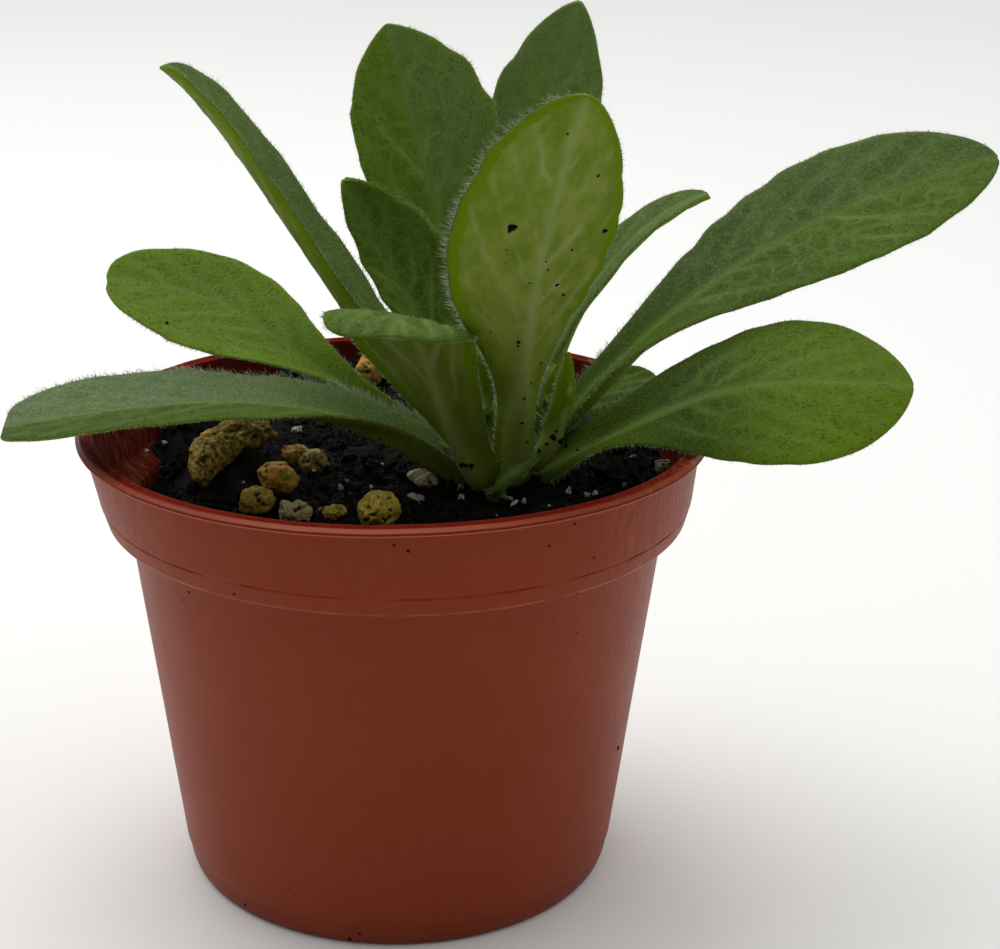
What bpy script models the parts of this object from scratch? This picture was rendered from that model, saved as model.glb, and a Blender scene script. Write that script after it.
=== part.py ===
"""A primulina plant in its round plastic nursery pot.

The pot stands on z = 0 with its axis on the Z axis. A view along +Y, slightly from above, shows the
side that is modelled from observation. Lengths below are in millimetres and are turned into metres
where an object is made.
"""

from math import cos, radians, sin, sqrt, tau

import bmesh
import bpy
from mathutils import Matrix, Vector, noise

MM = 0.001

# Pot
POT_STEPS = 48
LIP_R = 45.0
LIP_TOP = 68.2
LIP_INNER_R = 42.4
COLLAR_TOP_R = 43.6
COLLAR_LOW_R = 42.9
COLLAR_CREASE_Z = 58.6
COLLAR_BOTTOM_Z = 55.8
BODY_TOP_R = 39.2
BASE_R = 32.0
WALL = 1.2
LEDGE_LOW_Z = COLLAR_BOTTOM_Z + 1.4
LEDGE_HIGH_Z = COLLAR_BOTTOM_Z + 3.0
LEDGE_OUTER_R = COLLAR_LOW_R - WALL - 0.3
INNER_LIP_Z = LIP_TOP - 1.2
FOOT_R = 31.0
FLOOR_DISC_R = 11.0
FLOOR_RISE = 1.6
DRAIN_HOLES = 6
DRAIN_HOLE_R = 3.0
DRAIN_RING_R = 20.0
DRAIN_SIDES = 12
CUTTER_DEPTH = 8.0
RIM_SQUEEZE = 1.2
RIM_RISE = 1.05
RIM_RISE_FROM_Z = 60.0
RIM_RISE_WAY = (0.34, -0.94)

# Soil
SOIL_STEPS = POT_STEPS
SOIL_RINGS = 9
RING_SPREAD = 0.8
SOIL_BOTTOM_Z = 3.3
SOIL_CHAMFER = 2.4
SOIL_SHOULDER_Z = 52.0
SOIL_TOP_Z = 60.0
SOIL_LEVEL = 58.5
BACK_SLOPE = 0.05
BACK_RISE = 0.0014
RIGHT_SLOPE = 0.03
LEFT_SINK = 2.6
SINK_FROM_X = -27.0
SINK_WIDTH = 11.0
SINK_TO_Y = 21.0
SINK_END = 18.0
BANK_HEIGHT = 3.2
BANK_FROM_R = 30.0
BANK_WIDTH = 11.0
BANK_FROM_Y = 5.0
BANK_EASE = 18.0
BANK_TO_X = 12.0
BANK_LENGTH = 20.0
SIDE_UPPER_Z = 59.1
SIDE_LOWER_Z = 57.4
EDGE_STEP = 0.7
LEDGE_GAP = 1.6
LUMP_SIZE = 9.0
LUMP_HEIGHT = 1.1
SOIL_EDGE_GAP = 0.5
STEM_HOLE_R = 5.3
STEM_HOLE_DEPTH = 24.0
KNOB_HEIGHT = 0.16
KNOB_PITCH = 1.6

# Crown, the short stem that the leaves grow from
CROWN_AT = (15.7, 2.5)
CROWN_STEPS = 20
CROWN_PROFILE = [(0.0, 71.6), (1.2, 71.0), (2.6, 69.4), (3.6, 66.6),
                 (4.6, 63.0), (5.0, 60.0), (5.0, 50.0), (0.0, 49.4)]

# Leaves
SEAT_GAP = 0.3
BLADE_THICK = 1.0
STALK_THICK = 1.7
FOOT_SHARE = 0.5
FOOT_END = 0.22
BLADE_START = 0.12
END_ROUNDING = 2.2
TURN_END = 0.55
FOOT_FOLD = 4.0
STALK_FOLD_FROM = 0.2
FOLD_EASE = (0.1, 0.45)
THICK_END = 0.4
FLAT_UNDER = 1.6
WAVED_FROM = 0.45
WAVED_OVER = 0.3
LEAF_ROWS = 18
LEAF_COLUMNS = 4
WAVE_LENGTH = 6.5
SCALLOP = 0.15
RIPPLE = 0.2
RIPPLE_LENGTH = 14.0
TIP_CUT = 0.996
TIP_CROWDING = 1.35

# Each leaf: where its foot sits on the crown (turn from +X in degrees, height), the two handles and
# the tip of its midrib curve, its heading at the foot and at the blade, its roll about the midrib
# there, blade width, the skew that makes its left half narrower and its right half wider by a share
# when below zero, how steeply the channel of the stalk is folded up, how far each half of the blade is,
# stalk width as a share of the blade width, where along the leaf the blade is widest, and its point:
# 0.5 is a round end, 1 a sharp one. The young leaves are also slim: thinner by this share.
LEAVES = {
    "leaf_left_low": dict(
        foot=(206, 60), handles=[(-9.2, -9, 76.6), (-25.1, -14, 76.6)], tip=(-53.5, -16, 71.6),
        heading=(202, 184), roll=(-10, -4), width=20.4, skew=-0.09, channel=46, fold=7,
        stalk=0.34, widest=0.81, point=0.25),
    "leaf_left_upper": dict(
        foot=(169, 62), handles=[(-22.5, 1.8, 78), (-18.5, 16.6, 82.2)], tip=(-43.3, 11.4, 85.6),
        heading=(174, 184), roll=(-1, -28), width=22, skew=0.18, channel=36, fold=9,
        stalk=0.29, widest=0.66, point=0.35),
    "leaf_left_tall": dict(
        foot=(160, 67), handles=[(-6.8, 3.5, 74.4), (-20.7, 4.1, 110.1)], tip=(-32.9, 5.5, 118.1),
        heading=(162, 175), roll=(-7, 5), width=16.2, skew=-0.04, channel=36, fold=22,
        stalk=0.31, widest=0.52, point=0.44),
    "leaf_mid_left": dict(
        foot=(137.6, 61.4), handles=[(4.9, 9.9, 80.7), (-1.2, 15.9, 83.6)], tip=(-8.6, 15.6, 100.2),
        heading=(135, 108), roll=(-11, -10), width=12.9, skew=-0.43, channel=36, fold=17,
        stalk=0.25, widest=0.59, point=0.6),
    "leaf_back_left": dict(
        foot=(115.8, 68), handles=[(8, 22.9, 78.8), (2.7, 25.6, 101.9)], tip=(-2.9, 28.3, 121),
        heading=(110, 96), roll=(-10, -7), width=21.5, skew=-0.14, channel=36, fold=4,
        stalk=0.25, widest=0.73, point=0.8),
    "leaf_back_right": dict(
        foot=(70, 67.6), handles=[(18.2, 20, 76.4), (17.4, 34.9, 99.8)], tip=(26, 33.1, 124),
        heading=(76, 86), roll=(0, -1), width=19.3, skew=0.01, channel=36, fold=7,
        stalk=0.26, widest=0.62, point=0.69),
    "leaf_front_tall": dict(
        foot=(280, 61), handles=[(18.3, -13, 87.5), (18, -21.4, 95.3)], tip=(25.1, -25.6, 120.7),
        heading=(274, 269), roll=(-7, 21), width=23.8, skew=-0.1, channel=36, fold=4,
        stalk=0.25, widest=0.68, point=0.58),
    "leaf_front_left": dict(
        foot=(240, 60.6), handles=[(7.8, -10, 65.2), (1.8, -6, 94.8)], tip=(0.2, -21.1, 87),
        heading=(240, 255), roll=(2, -5), width=21.5, skew=0, channel=36, fold=-6,
        stalk=0.34, widest=0.85, point=0.25),
    "leaf_right_tall": dict(
        foot=(36, 67), handles=[(22.1, 7.1, 77.6), (31.1, 13.1, 94.9)], tip=(44.9, 14.6, 98.8),
        heading=(38, 15), roll=(0, 3), width=10, skew=0, channel=36, fold=17,
        stalk=0.30, widest=0.59, point=0.46),
    "leaf_right_upper": dict(
        foot=(8, 64.4), handles=[(40.3, 1, 88.3), (53.2, 6.1, 97.1)], tip=(85.2, 7.9, 106.4),
        heading=(8, 5), roll=(17, 44), width=19.7, skew=-0.05, channel=36, fold=10,
        stalk=0.27, widest=0.74, point=0.6),
    "leaf_right_low": dict(
        foot=(344, 61), handles=[(41.4, -6.1, 73.2), (43, -12.2, 80.6)], tip=(71.6, -13.5, 78.6),
        heading=(350, 353), roll=(29, 36), width=24.7, skew=-0.07, channel=36, fold=-3,
        stalk=0.32, widest=0.78, point=0.59),
    "leaf_right_small": dict(
        foot=(44, 61.6), handles=[(27, 8, 67.6), (32, 11.5, 71.6)], tip=(38.4, 12.6, 70.9),
        heading=(38, 20), roll=(5, 15), width=9.6, skew=0, channel=36, fold=8,
        stalk=0.38, widest=0.66, point=0.6),
    "leaf_young": dict(
        foot=(310, 63.4), handles=[(24.2, -4.2, 68), (24.9, -4.5, 75)], tip=(24.1, -4.5, 80.4),
        heading=(306, 300), roll=(0, 0), width=5.2, skew=0, channel=36, fold=30,
        stalk=0.60, widest=0.45, point=0.8, slim=0.7),
    "leaf_young_pale": dict(
        foot=(350, 67.4), handles=[(20.5, 2, 70), (22, 3, 73)], tip=(22.5, 3.5, 76),
        heading=(350, 0), roll=(0, 0), width=4, skew=0, channel=36, fold=30,
        stalk=0.60, widest=0.50, point=0.8, slim=0.6),
    "leaf_young_middle": dict(
        foot=(210, 69.2), handles=[(12, 1, 71.5), (12, 0, 75)], tip=(12, -0.5, 79),
        heading=(212, 230), roll=(0, 0), width=4.4, skew=0, channel=36, fold=30,
        stalk=0.60, widest=0.50, point=0.8, slim=0.6),
}

# Clay granules lying in the soil: place of the middle, its height above the soil, the three half
# sizes, the turn about Z, how steeply the right end is tilted up and how far both ends bend to one side.
GRANULES = {
    "granule_bean": dict(at=(-27.2, 7.2), rise=2.9, half=(8.4, 3.0, 3.2), turn=51, tilt=14, bend=0.05),
    "granule_orange": dict(at=(-17.4, -1.6), rise=1.7, half=(3.8, 2.3, 2.3), turn=-50, tilt=0, bend=0.0),
    "granule_left_front": dict(at=(-20.0, -7.2), rise=1.2, half=(2.7, 2.3, 2.1), turn=35, tilt=0, bend=0.0),
    "granule_flat": dict(at=(-14.5, 7.8), rise=1.4, half=(3.9, 2.2, 2.0), turn=-30, tilt=0, bend=0.0),
    "granule_front": dict(at=(-14.0, -12.6), rise=1.1, half=(2.3, 1.9, 1.8), turn=15, tilt=0, bend=0.0),
    "granule_front_small": dict(at=(-8.3, -13.2), rise=0.7, half=(1.8, 1.2, 1.1), turn=0, tilt=0, bend=0.0),
    "granule_near_rim": dict(at=(-2.1, -13.2), rise=1.9, half=(3.2, 2.7, 2.8), turn=40, tilt=0, bend=0.0),
    "granule_chip": dict(at=(3.6, 0.2), rise=0.9, half=(2.7, 1.4, 1.3), turn=-42, tilt=0, bend=0.0),
    "granule_back": dict(at=(-6.2, 35.6), rise=1.2, half=(2.4, 2.1, 2.6), turn=10, tilt=0, bend=0.0),
    "granule_right": dict(at=(38.9, 4.6), rise=0.6, half=(1.4, 1.1, 1.2), turn=30, tilt=0, bend=0.0),
}

# Linear colour and roughness of each material.
COLORS = {
    "pot": ((0.155, 0.037, 0.017), 0.42),
    "soil": ((0.012, 0.010, 0.009), 0.95),
    "crown": ((0.150, 0.190, 0.060), 0.60),
    "leaf": ((0.095, 0.165, 0.042), 0.62),
    "granule": ((0.380, 0.245, 0.080), 0.90),
}


def clear_scene():
    for obj in list(bpy.data.objects):
        bpy.data.objects.remove(obj, do_unlink=True)


def collection(name):
    made = bpy.data.collections.new(name)
    bpy.context.scene.collection.children.link(made)
    return made


def material(name, color, roughness):
    mat = bpy.data.materials.new(name)
    mat.use_nodes = True
    shader = mat.node_tree.nodes["Principled BSDF"]
    shader.inputs["Base Color"].default_value = (*color, 1.0)
    shader.inputs["Roughness"].default_value = roughness
    return mat


def place(name, mesh, where, look):
    """An object of this mesh in the collection, with a material of its own."""
    obj = bpy.data.objects.new(name, mesh)
    where.objects.link(obj)
    if look:
        obj.data.materials.append(material(name, *COLORS[look]))
    return obj


def apply_modifiers(obj):
    """The object's mesh with its modifiers made real."""
    graph = bpy.context.evaluated_depsgraph_get()
    made = bpy.data.meshes.new_from_object(obj.evaluated_get(graph))
    obj.modifiers.clear()
    obj.data = made
    return obj


def turned(name, profile, steps, where, look):
    """A solid of revolution about Z from (radius, height) points that run down its outer side."""
    mesh = bpy.data.meshes.new(name)
    bm = bmesh.new()
    points = [bm.verts.new((r * MM, 0.0, z * MM)) for r, z in profile]
    for a, b in zip(points, points[1:]):
        bm.edges.new((a, b))
    bm.to_mesh(mesh)
    bm.free()
    obj = place(name, mesh, where, look)
    screw = obj.modifiers.new("turn", "SCREW")
    screw.steps = screw.render_steps = steps
    screw.use_merge_vertices = True
    screw.merge_threshold = 0.00001
    screw.use_smooth_shade = True
    return apply_modifiers(obj)


def smooth_step(t):
    t = min(max(t, 0.0), 1.0)
    return t * t * (3.0 - 2.0 * t)


def mix(a, b, t):
    return a + (b - a) * t


def body_radius(z):
    return mix(BASE_R, BODY_TOP_R, z / COLLAR_BOTTOM_Z)


def inner_radius(z):
    """Inside of the wall: the body's taper, then the wider collar above the ledge."""
    if z <= LEDGE_LOW_Z:
        return body_radius(z) - WALL
    if z < LEDGE_HIGH_Z:
        share = (z - LEDGE_LOW_Z) / (LEDGE_HIGH_Z - LEDGE_LOW_Z)
        return mix(body_radius(LEDGE_LOW_Z) - WALL, LEDGE_OUTER_R, share)
    return mix(LEDGE_OUTER_R, LIP_INNER_R, (z - LEDGE_HIGH_Z) / (INNER_LIP_Z - LEDGE_HIGH_Z))


def pot_profile():
    """Down the outside, across the base and the floor, and up the inside to where it began."""
    inner_heights = [4.2, 30.0, LEDGE_LOW_Z, LEDGE_HIGH_Z, 63.0, INNER_LIP_Z]
    floor_top = FLOOR_RISE + WALL
    outer = [
        (LIP_INNER_R + 0.5, LIP_TOP - 0.3), (LIP_R - 1.6, LIP_TOP), (LIP_R - 0.5, LIP_TOP - 0.2),
        (LIP_R, LIP_TOP - 0.8), (LIP_R - 0.3, LIP_TOP - 1.2), (COLLAR_TOP_R, LIP_TOP - 1.7),
        (COLLAR_LOW_R, COLLAR_CREASE_Z), (COLLAR_LOW_R - 0.7, COLLAR_BOTTOM_Z + 0.2),
        (BODY_TOP_R + 0.5, COLLAR_BOTTOM_Z), (BODY_TOP_R - 0.1, COLLAR_BOTTOM_Z - 0.6),
        (body_radius(30.0), 30.0), (body_radius(4.5), 4.5), (BASE_R + 0.1, 2.2), (FOOT_R + 0.3, 0.5),
        (FOOT_R - 0.3, 0.0), (FOOT_R - 1.8, 0.0), (FOOT_R - 2.2, FLOOR_RISE),
        (FLOOR_DISC_R + 1.2, FLOOR_RISE), (FLOOR_DISC_R, 0.0), (0.0, 0.0),
    ]
    inner = [(0.0, WALL), (FLOOR_DISC_R - 0.8, WALL), (FLOOR_DISC_R + 0.6, floor_top),
             (FOOT_R - 3.0, floor_top)]
    inner += [(inner_radius(z), z) for z in inner_heights]
    return outer + inner + outer[:1]


def make_pot(where, cutters):
    pot = turned("pot", pot_profile(), POT_STEPS, where, "pot")
    for number in range(DRAIN_HOLES):
        turn = tau * (number + 0.5) / DRAIN_HOLES
        bpy.ops.mesh.primitive_cylinder_add(
            vertices=DRAIN_SIDES, radius=DRAIN_HOLE_R * MM, depth=CUTTER_DEPTH * MM,
            location=Vector((DRAIN_RING_R * cos(turn), DRAIN_RING_R * sin(turn), FLOOR_RISE)) * MM)
        cut(pot, as_cutter(bpy.context.object, cutters))
    apply_modifiers(pot)
    for vertex in pot.data.vertices:
        squeeze_rim(vertex)
    return pot


def squeeze_rim(vertex):
    """The soft rim stands out a little on its left side and bows up a little at the front."""
    x, y, z = vertex.co / MM
    if z < COLLAR_BOTTOM_Z:
        return
    reach = sqrt(x * x + y * y)
    if x < 0.0:
        towards_lip = smooth_step((z - COLLAR_BOTTOM_Z) / (LIP_TOP - COLLAR_BOTTOM_Z))
        vertex.co.x -= RIM_SQUEEZE * (x / reach) ** 4 * towards_lip * MM
    towards_front = max((x * RIM_RISE_WAY[0] + y * RIM_RISE_WAY[1]) / reach, 0.0)
    raised = smooth_step((z - RIM_RISE_FROM_Z) / (LIP_TOP - RIM_RISE_FROM_Z))
    vertex.co.z += RIM_RISE * towards_front ** 2 * raised * MM


def as_cutter(obj, cutters):
    for owner in list(obj.users_collection):
        owner.objects.unlink(obj)
    cutters.objects.link(obj)
    obj.hide_render = True
    obj.display_type = "WIRE"
    return obj


def cut(obj, cutter):
    hole = obj.modifiers.new("cut", "BOOLEAN")
    hole.operation = "DIFFERENCE"
    hole.solver = "EXACT"
    hole.object = cutter


def soil_height(x, y):
    """The surface is low at the left, where the peat has shrunk, and banked up at the back left."""
    lumps = noise.fractal(Vector((x, y, 3.0)) / LUMP_SIZE, 1.0, 2.0, 2) * LUMP_HEIGHT
    slope = BACK_SLOPE * y + BACK_RISE * y * max(y, 0.0) + RIGHT_SLOPE * x
    sink = LEFT_SINK * smooth_step((SINK_FROM_X - x) / SINK_WIDTH) * smooth_step((SINK_TO_Y - y) / SINK_END)
    bank = BANK_HEIGHT * smooth_step((sqrt(x * x + y * y) - BANK_FROM_R) / BANK_WIDTH)
    bank *= smooth_step((y - BANK_FROM_Y) / BANK_EASE) * smooth_step((BANK_TO_X - x) / BANK_LENGTH)
    return SOIL_LEVEL + slope - sink + bank + lumps


def soil_profile():
    """Rings of the surface from the middle out, then down the side to the bottom, on a flat top."""
    edge = inner_radius(SOIL_TOP_Z) - SOIL_EDGE_GAP
    shoulder = body_radius(SOIL_SHOULDER_Z) - WALL - SOIL_EDGE_GAP
    bottom = body_radius(SOIL_BOTTOM_Z) - WALL - SOIL_EDGE_GAP
    surface = [(edge * (ring / SOIL_RINGS) ** RING_SPREAD, SOIL_TOP_Z) for ring in range(SOIL_RINGS + 1)]
    side = [(edge, SIDE_UPPER_Z), (edge, SIDE_LOWER_Z), (shoulder, SOIL_SHOULDER_Z)]
    base = [(bottom, SOIL_BOTTOM_Z + SOIL_CHAMFER), (bottom - SOIL_CHAMFER, SOIL_BOTTOM_Z)]
    return surface + side + base + [(0.0, SOIL_BOTTOM_Z)]


def settle(vertex):
    """Brings a point of the flat-topped soil to the uneven surface, clear of the wall and its ledge."""
    x, y, z = vertex.co / MM
    if z < SIDE_LOWER_Z - 0.1:
        return
    top = soil_height(x, y)
    if z < SIDE_LOWER_Z + 0.1:
        top = min(z, top - 2 * EDGE_STEP)
        on_wall = body_radius(top) - WALL - 2 * SOIL_EDGE_GAP
    else:
        if z < SIDE_UPPER_Z + 0.1:
            top = min(z, top - EDGE_STEP)
        on_wall = inner_radius(top - LEDGE_GAP) - SOIL_EDGE_GAP
    reach = max(sqrt(x * x + y * y), SOIL_EDGE_GAP)
    shrink = min(1.0, on_wall / reach)
    vertex.co = Vector((x * shrink, y * shrink, top)) * MM


def make_soil(where, cutters):
    soil = turned("soil", soil_profile(), SOIL_STEPS, where, "soil")
    for vertex in soil.data.vertices:
        settle(vertex)
    hole_floor = CROWN_PROFILE[-1][1] - SEAT_GAP
    bpy.ops.mesh.primitive_cylinder_add(
        vertices=CROWN_STEPS, radius=STEM_HOLE_R * MM, depth=STEM_HOLE_DEPTH * MM,
        location=Vector((*CROWN_AT, hole_floor + STEM_HOLE_DEPTH / 2)) * MM)
    cut(soil, as_cutter(bpy.context.object, cutters))
    for name, lump in GRANULES.items():
        cut(soil, granule(name + "_socket", lump, SEAT_GAP, cutters, None))
    return apply_modifiers(soil)


def granule(name, lump, grow, where, look):
    """A knobbly pebble: an icosphere stretched to its half sizes, with a rough surface.

    The socket that it lies in is the same shape, grown by the gap.
    """
    mesh = bpy.data.meshes.new(name)
    bm = bmesh.new()
    bmesh.ops.create_icosphere(bm, subdivisions=2, radius=1.0)
    x, y = lump["at"]
    seat = Vector((x, y, soil_height(x, y) + lump["rise"]))
    turn = Matrix.Rotation(radians(lump["turn"]), 3, "Z") @ Matrix.Rotation(radians(-lump["tilt"]), 3, "Y")
    for vertex in bm.verts:
        knob = 1.0 + KNOB_HEIGHT * noise.noise(vertex.co * KNOB_PITCH + seat)
        size = Vector(lump["half"]) * knob + Vector((grow, grow, grow))
        point = Vector(c * s for c, s in zip(vertex.co, size))
        point.y -= lump["bend"] * point.x * point.x
        vertex.co = (turn @ point + seat) * MM
    bm.to_mesh(mesh)
    bm.free()
    obj = place(name, mesh, where, look)
    if look is None:
        as_cutter(obj, where)
    return obj


def crown_radius(z):
    """Radius of the crown's side at a height."""
    side = [p for p in CROWN_PROFILE if p[0] > 0.0]
    for (r_high, z_high), (r_low, z_low) in zip(side, side[1:]):
        if z_low <= z <= z_high:
            return mix(r_low, r_high, (z - z_low) / (z_high - z_low))
    return side[-1][0]


def make_crown(where):
    crown = turned("crown", CROWN_PROFILE, CROWN_STEPS, where, "crown")
    for vertex in crown.data.vertices:
        vertex.co.x += CROWN_AT[0] * MM
        vertex.co.y += CROWN_AT[1] * MM
    return crown


def leaf_foot(leaf):
    turn, height = radians(leaf["foot"][0]), leaf["foot"][1]
    reach = crown_radius(height) + STALK_THICK / 2 + SEAT_GAP
    return Vector((CROWN_AT[0] + reach * cos(turn), CROWN_AT[1] + reach * sin(turn), height))


def width_share(leaf, s):
    """Half width along the leaf as a share of the widest: a narrow stalk that opens into a spoon."""
    stalk, widest = leaf["stalk"], leaf["widest"]
    opened = mix(stalk, 1.0, smooth_step((s - BLADE_START) / (widest - BLADE_START)))
    opened *= mix(FOOT_SHARE, 1.0, smooth_step(s / FOOT_END))
    past = min(max((s - widest) / (1.0 - widest), 0.0), 1.0)
    return opened * max(1.0 - past ** END_ROUNDING, 0.0) ** leaf["point"]


def leaf_frame(leaf, s):
    """Point on the midrib with the directions along it, across the blade and out of its upper face."""
    a, (b, c), d = leaf_foot(leaf), [Vector(h) for h in leaf["handles"]], Vector(leaf["tip"])
    r = 1.0 - s
    point = a * r ** 3 + b * (3 * r * r * s) + c * (3 * r * s * s) + d * s ** 3
    along = ((b - a) * (r * r) + (c - b) * (2 * r * s) + (d - c) * (s * s)).normalized()
    ease = smooth_step(s / TURN_END)
    heading = radians(mix(*leaf["heading"], ease))
    across = Vector((-sin(heading), cos(heading), 0.0))
    across = (across - along * across.dot(along)).normalized()
    out = along.cross(across)
    roll = radians(mix(*leaf["roll"], ease))
    return point, across * cos(roll) + out * sin(roll), out * cos(roll) - across * sin(roll)


def fold_angle(leaf, s):
    """Each half is raised by this angle: a shallow foot, a channelled stalk, a flatter blade and tip."""
    stalk_fold = mix(FOOT_FOLD, leaf["channel"], smooth_step(s / STALK_FOLD_FROM))
    start, length = FOLD_EASE
    fold = radians(mix(stalk_fold, leaf["fold"], smooth_step((s - start) / length)))
    return fold * smooth_step(leaf["width"] / 2 * width_share(leaf, s) / FLAT_UNDER)


def leaf_point(leaf, s, v):
    """Point of the blade's middle layer: s runs from foot to tip, v from one margin (-1) to the other."""
    point, across, out = leaf_frame(leaf, s)
    share = width_share(leaf, s)
    side = 1.0 if v > 0 else -1.0
    on_blade = smooth_step((share - WAVED_FROM) / WAVED_OVER) * v * v
    run = tau * s * (Vector(leaf["tip"]) - leaf_foot(leaf)).length
    scallop = SCALLOP * sin(run / WAVE_LENGTH + leaf["foot"][0] + side) * on_blade
    ripple = RIPPLE * cos(run / RIPPLE_LENGTH + side) * on_blade
    reach = leaf["width"] / 2 * (1.0 + leaf["skew"] * side) * share * abs(v) + scallop
    fold = fold_angle(leaf, s)
    return point + across * (side * reach * cos(fold)) + out * (reach * sin(fold) + ripple)


def row_position(row):
    """Where along the leaf a row lies: rows stand closer together towards the rounded tip."""
    return TIP_CUT * (1.0 - (1.0 - row / LEAF_ROWS) ** TIP_CROWDING)


def make_leaf(name, leaf, where):
    mesh = bpy.data.meshes.new(name)
    bm = bmesh.new()
    bmesh.ops.create_grid(bm, x_segments=LEAF_ROWS, y_segments=LEAF_COLUMNS, size=1.0)
    layer = bm.verts.layers.deform.verify()
    for vertex in bm.verts:
        s = row_position((vertex.co.x + 1.0) / 2 * LEAF_ROWS)
        vertex[layer][0] = mix(1.0, BLADE_THICK / STALK_THICK, smooth_step(s / THICK_END))
        vertex.co = leaf_point(leaf, s, vertex.co.y) * MM
    bmesh.ops.triangulate(bm, faces=bm.faces)
    bm.to_mesh(mesh)
    bm.free()
    obj = place(name, mesh, where, "leaf")
    obj.vertex_groups.new(name="stalk")
    solid = obj.modifiers.new("thickness", "SOLIDIFY")
    solid.thickness = STALK_THICK * leaf.get("slim", 1.0) * MM
    solid.offset = 0.0
    solid.vertex_group = "stalk"
    obj.data.shade_smooth()
    return obj


def build():
    clear_scene()
    plant = collection("potted_primulina")
    cutters = collection("cutters")
    make_pot(plant, cutters)
    make_soil(plant, cutters)
    for name, lump in GRANULES.items():
        granule(name, lump, 0.0, plant, "granule")
    make_crown(plant)
    for name, leaf in LEAVES.items():
        make_leaf(name, leaf, plant)


build()
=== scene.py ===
"""A primulina plant in its nursery pot: the finer pot, peat, clay granules, leaves and hairs.

The tables are in millimetres, and lengths are turned into metres where a mesh is made.
"""

from math import cos, radians, sin, tau

import bpy
import numpy as np
from bpy.props import FloatProperty, FloatVectorProperty, IntProperty, PointerProperty
from mathutils import Matrix, Vector, noise


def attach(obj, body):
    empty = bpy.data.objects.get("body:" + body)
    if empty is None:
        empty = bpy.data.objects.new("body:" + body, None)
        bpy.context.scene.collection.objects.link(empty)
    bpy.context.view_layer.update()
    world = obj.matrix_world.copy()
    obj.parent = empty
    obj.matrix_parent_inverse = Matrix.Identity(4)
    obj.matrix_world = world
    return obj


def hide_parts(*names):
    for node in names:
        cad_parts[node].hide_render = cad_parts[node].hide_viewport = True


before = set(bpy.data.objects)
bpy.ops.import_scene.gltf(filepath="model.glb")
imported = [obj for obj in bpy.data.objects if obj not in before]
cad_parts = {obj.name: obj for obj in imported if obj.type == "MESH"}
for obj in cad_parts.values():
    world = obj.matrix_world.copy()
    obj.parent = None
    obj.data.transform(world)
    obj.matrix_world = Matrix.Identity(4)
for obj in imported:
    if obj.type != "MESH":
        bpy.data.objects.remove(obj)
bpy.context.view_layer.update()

MM = 0.001

bl_info = {
    "name": "Potted primulina",
    "version": (1, 0, 0),
    "blender": (4, 5, 0),
    "location": "View3D > Sidebar > Primulina",
    "description": "Models a hairy-leaved primulina in its plastic nursery pot",
    "category": "Object",
}

# The pot's outline from the rim down the outside, in under the base and up the inside: radius, height.
POT_OUTLINE = [
    (42.42, 67.0), (42.45, 67.6), (42.6, 67.86), (42.8, 67.84), (43.05, 67.62), (43.4, 67.55),
    (43.7, 67.62), (44.05, 67.85), (44.3, 67.95), (44.5, 67.88), (44.62, 67.72), (44.76, 67.68),
    (44.92, 67.58), (45.0, 67.4), (44.97, 67.15), (44.75, 66.98), (44.2, 66.9), (43.85, 66.8),
    (43.72, 66.5), (43.68, 66.0), (43.6, 65.0), (43.4, 63.0), (43.15, 60.8), (42.98, 59.2),
    (42.92, 58.8), (42.8, 58.62), (42.8, 58.45), (42.74, 58.2), (42.5, 57.2), (42.25, 56.3),
    (42.18, 56.05), (42.0, 55.85), (41.6, 55.8), (40.4, 55.85), (39.75, 55.75), (39.3, 55.5),
    (39.1, 55.1), (38.7, 52.3), (37.9, 46.0), (36.6, 36.0), (35.3, 26.0), (34.1, 16.5), (33.1, 8.8),
    (32.64, 5.2), (32.56, 4.6), (32.34, 4.2), (32.2, 3.4), (31.95, 1.9), (31.6, 0.9), (31.2, 0.3),
    (30.7, 0.0), (29.3, 0.0), (29.0, 0.3), (28.85, 1.3), (28.3, 1.6), (20.0, 1.6), (12.6, 1.6),
    (12.1, 1.4), (11.3, 0.2), (11.0, 0.0), (5.0, 0.0), (0.0, 0.0), (0.0, 1.2), (5.0, 1.2),
    (10.0, 1.2), (10.5, 1.4), (11.2, 2.6), (11.7, 2.8), (20.0, 2.8), (27.6, 2.8), (29.0, 3.0),
    (31.0, 3.9), (31.35, 4.6), (33.0, 16.5), (34.7, 30.0), (36.6, 44.5), (38.0, 56.0), (38.15, 57.1),
    (38.3, 57.3), (41.0, 58.6), (41.35, 58.8), (41.5, 59.2), (41.75, 62.0), (42.1, 65.0),
]
DRAIN_TURNS = [30, 90, 150, 210, 270, 330]
DRAIN_RING_R, DRAIN_HOLE_R, FLOOR_BOTTOM_Z = 20.0, 3.0, 1.6
# The rim is pushed out at the left and stands higher at the front, a little right of the middle.
RIM_SQUEEZE, RIM_RISE, RIM_RISE_FROM_Z, RISE_TOWARDS = 1.2, 1.05, 60.0, (0.34, -0.94)
COLLAR_BOTTOM_Z, LIP_TOP = 55.8, 68.2
# Radii on the rim: outside of the groove, of the bead on top, and of the lip's edge.
GROOVE_R, BEAD_R, LIP_EDGE_R = 43.9, 44.4, 44.96
RIM_TOP_Z, COLLAR_LINE_Z = 67.3, 58.5
# Radius of the wall's middle from the base up: what is nearer to the axis is inside.
WALL_MIDDLE = [(1.5, 30.6), (5.2, 32.0), (52.3, 38.1), (55.7, 38.7), (55.9, 41.4), (58.6, 42.2),
               (66.5, 43.0), (67.0, 42.8), (70.0, 42.8)]

SOIL_LEVEL, LEFT_SINK, BANK_HEIGHT, LUMP_SIZE, LUMP_HEIGHT = 58.5, 2.6, 3.2, 9.0, 1.1
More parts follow.
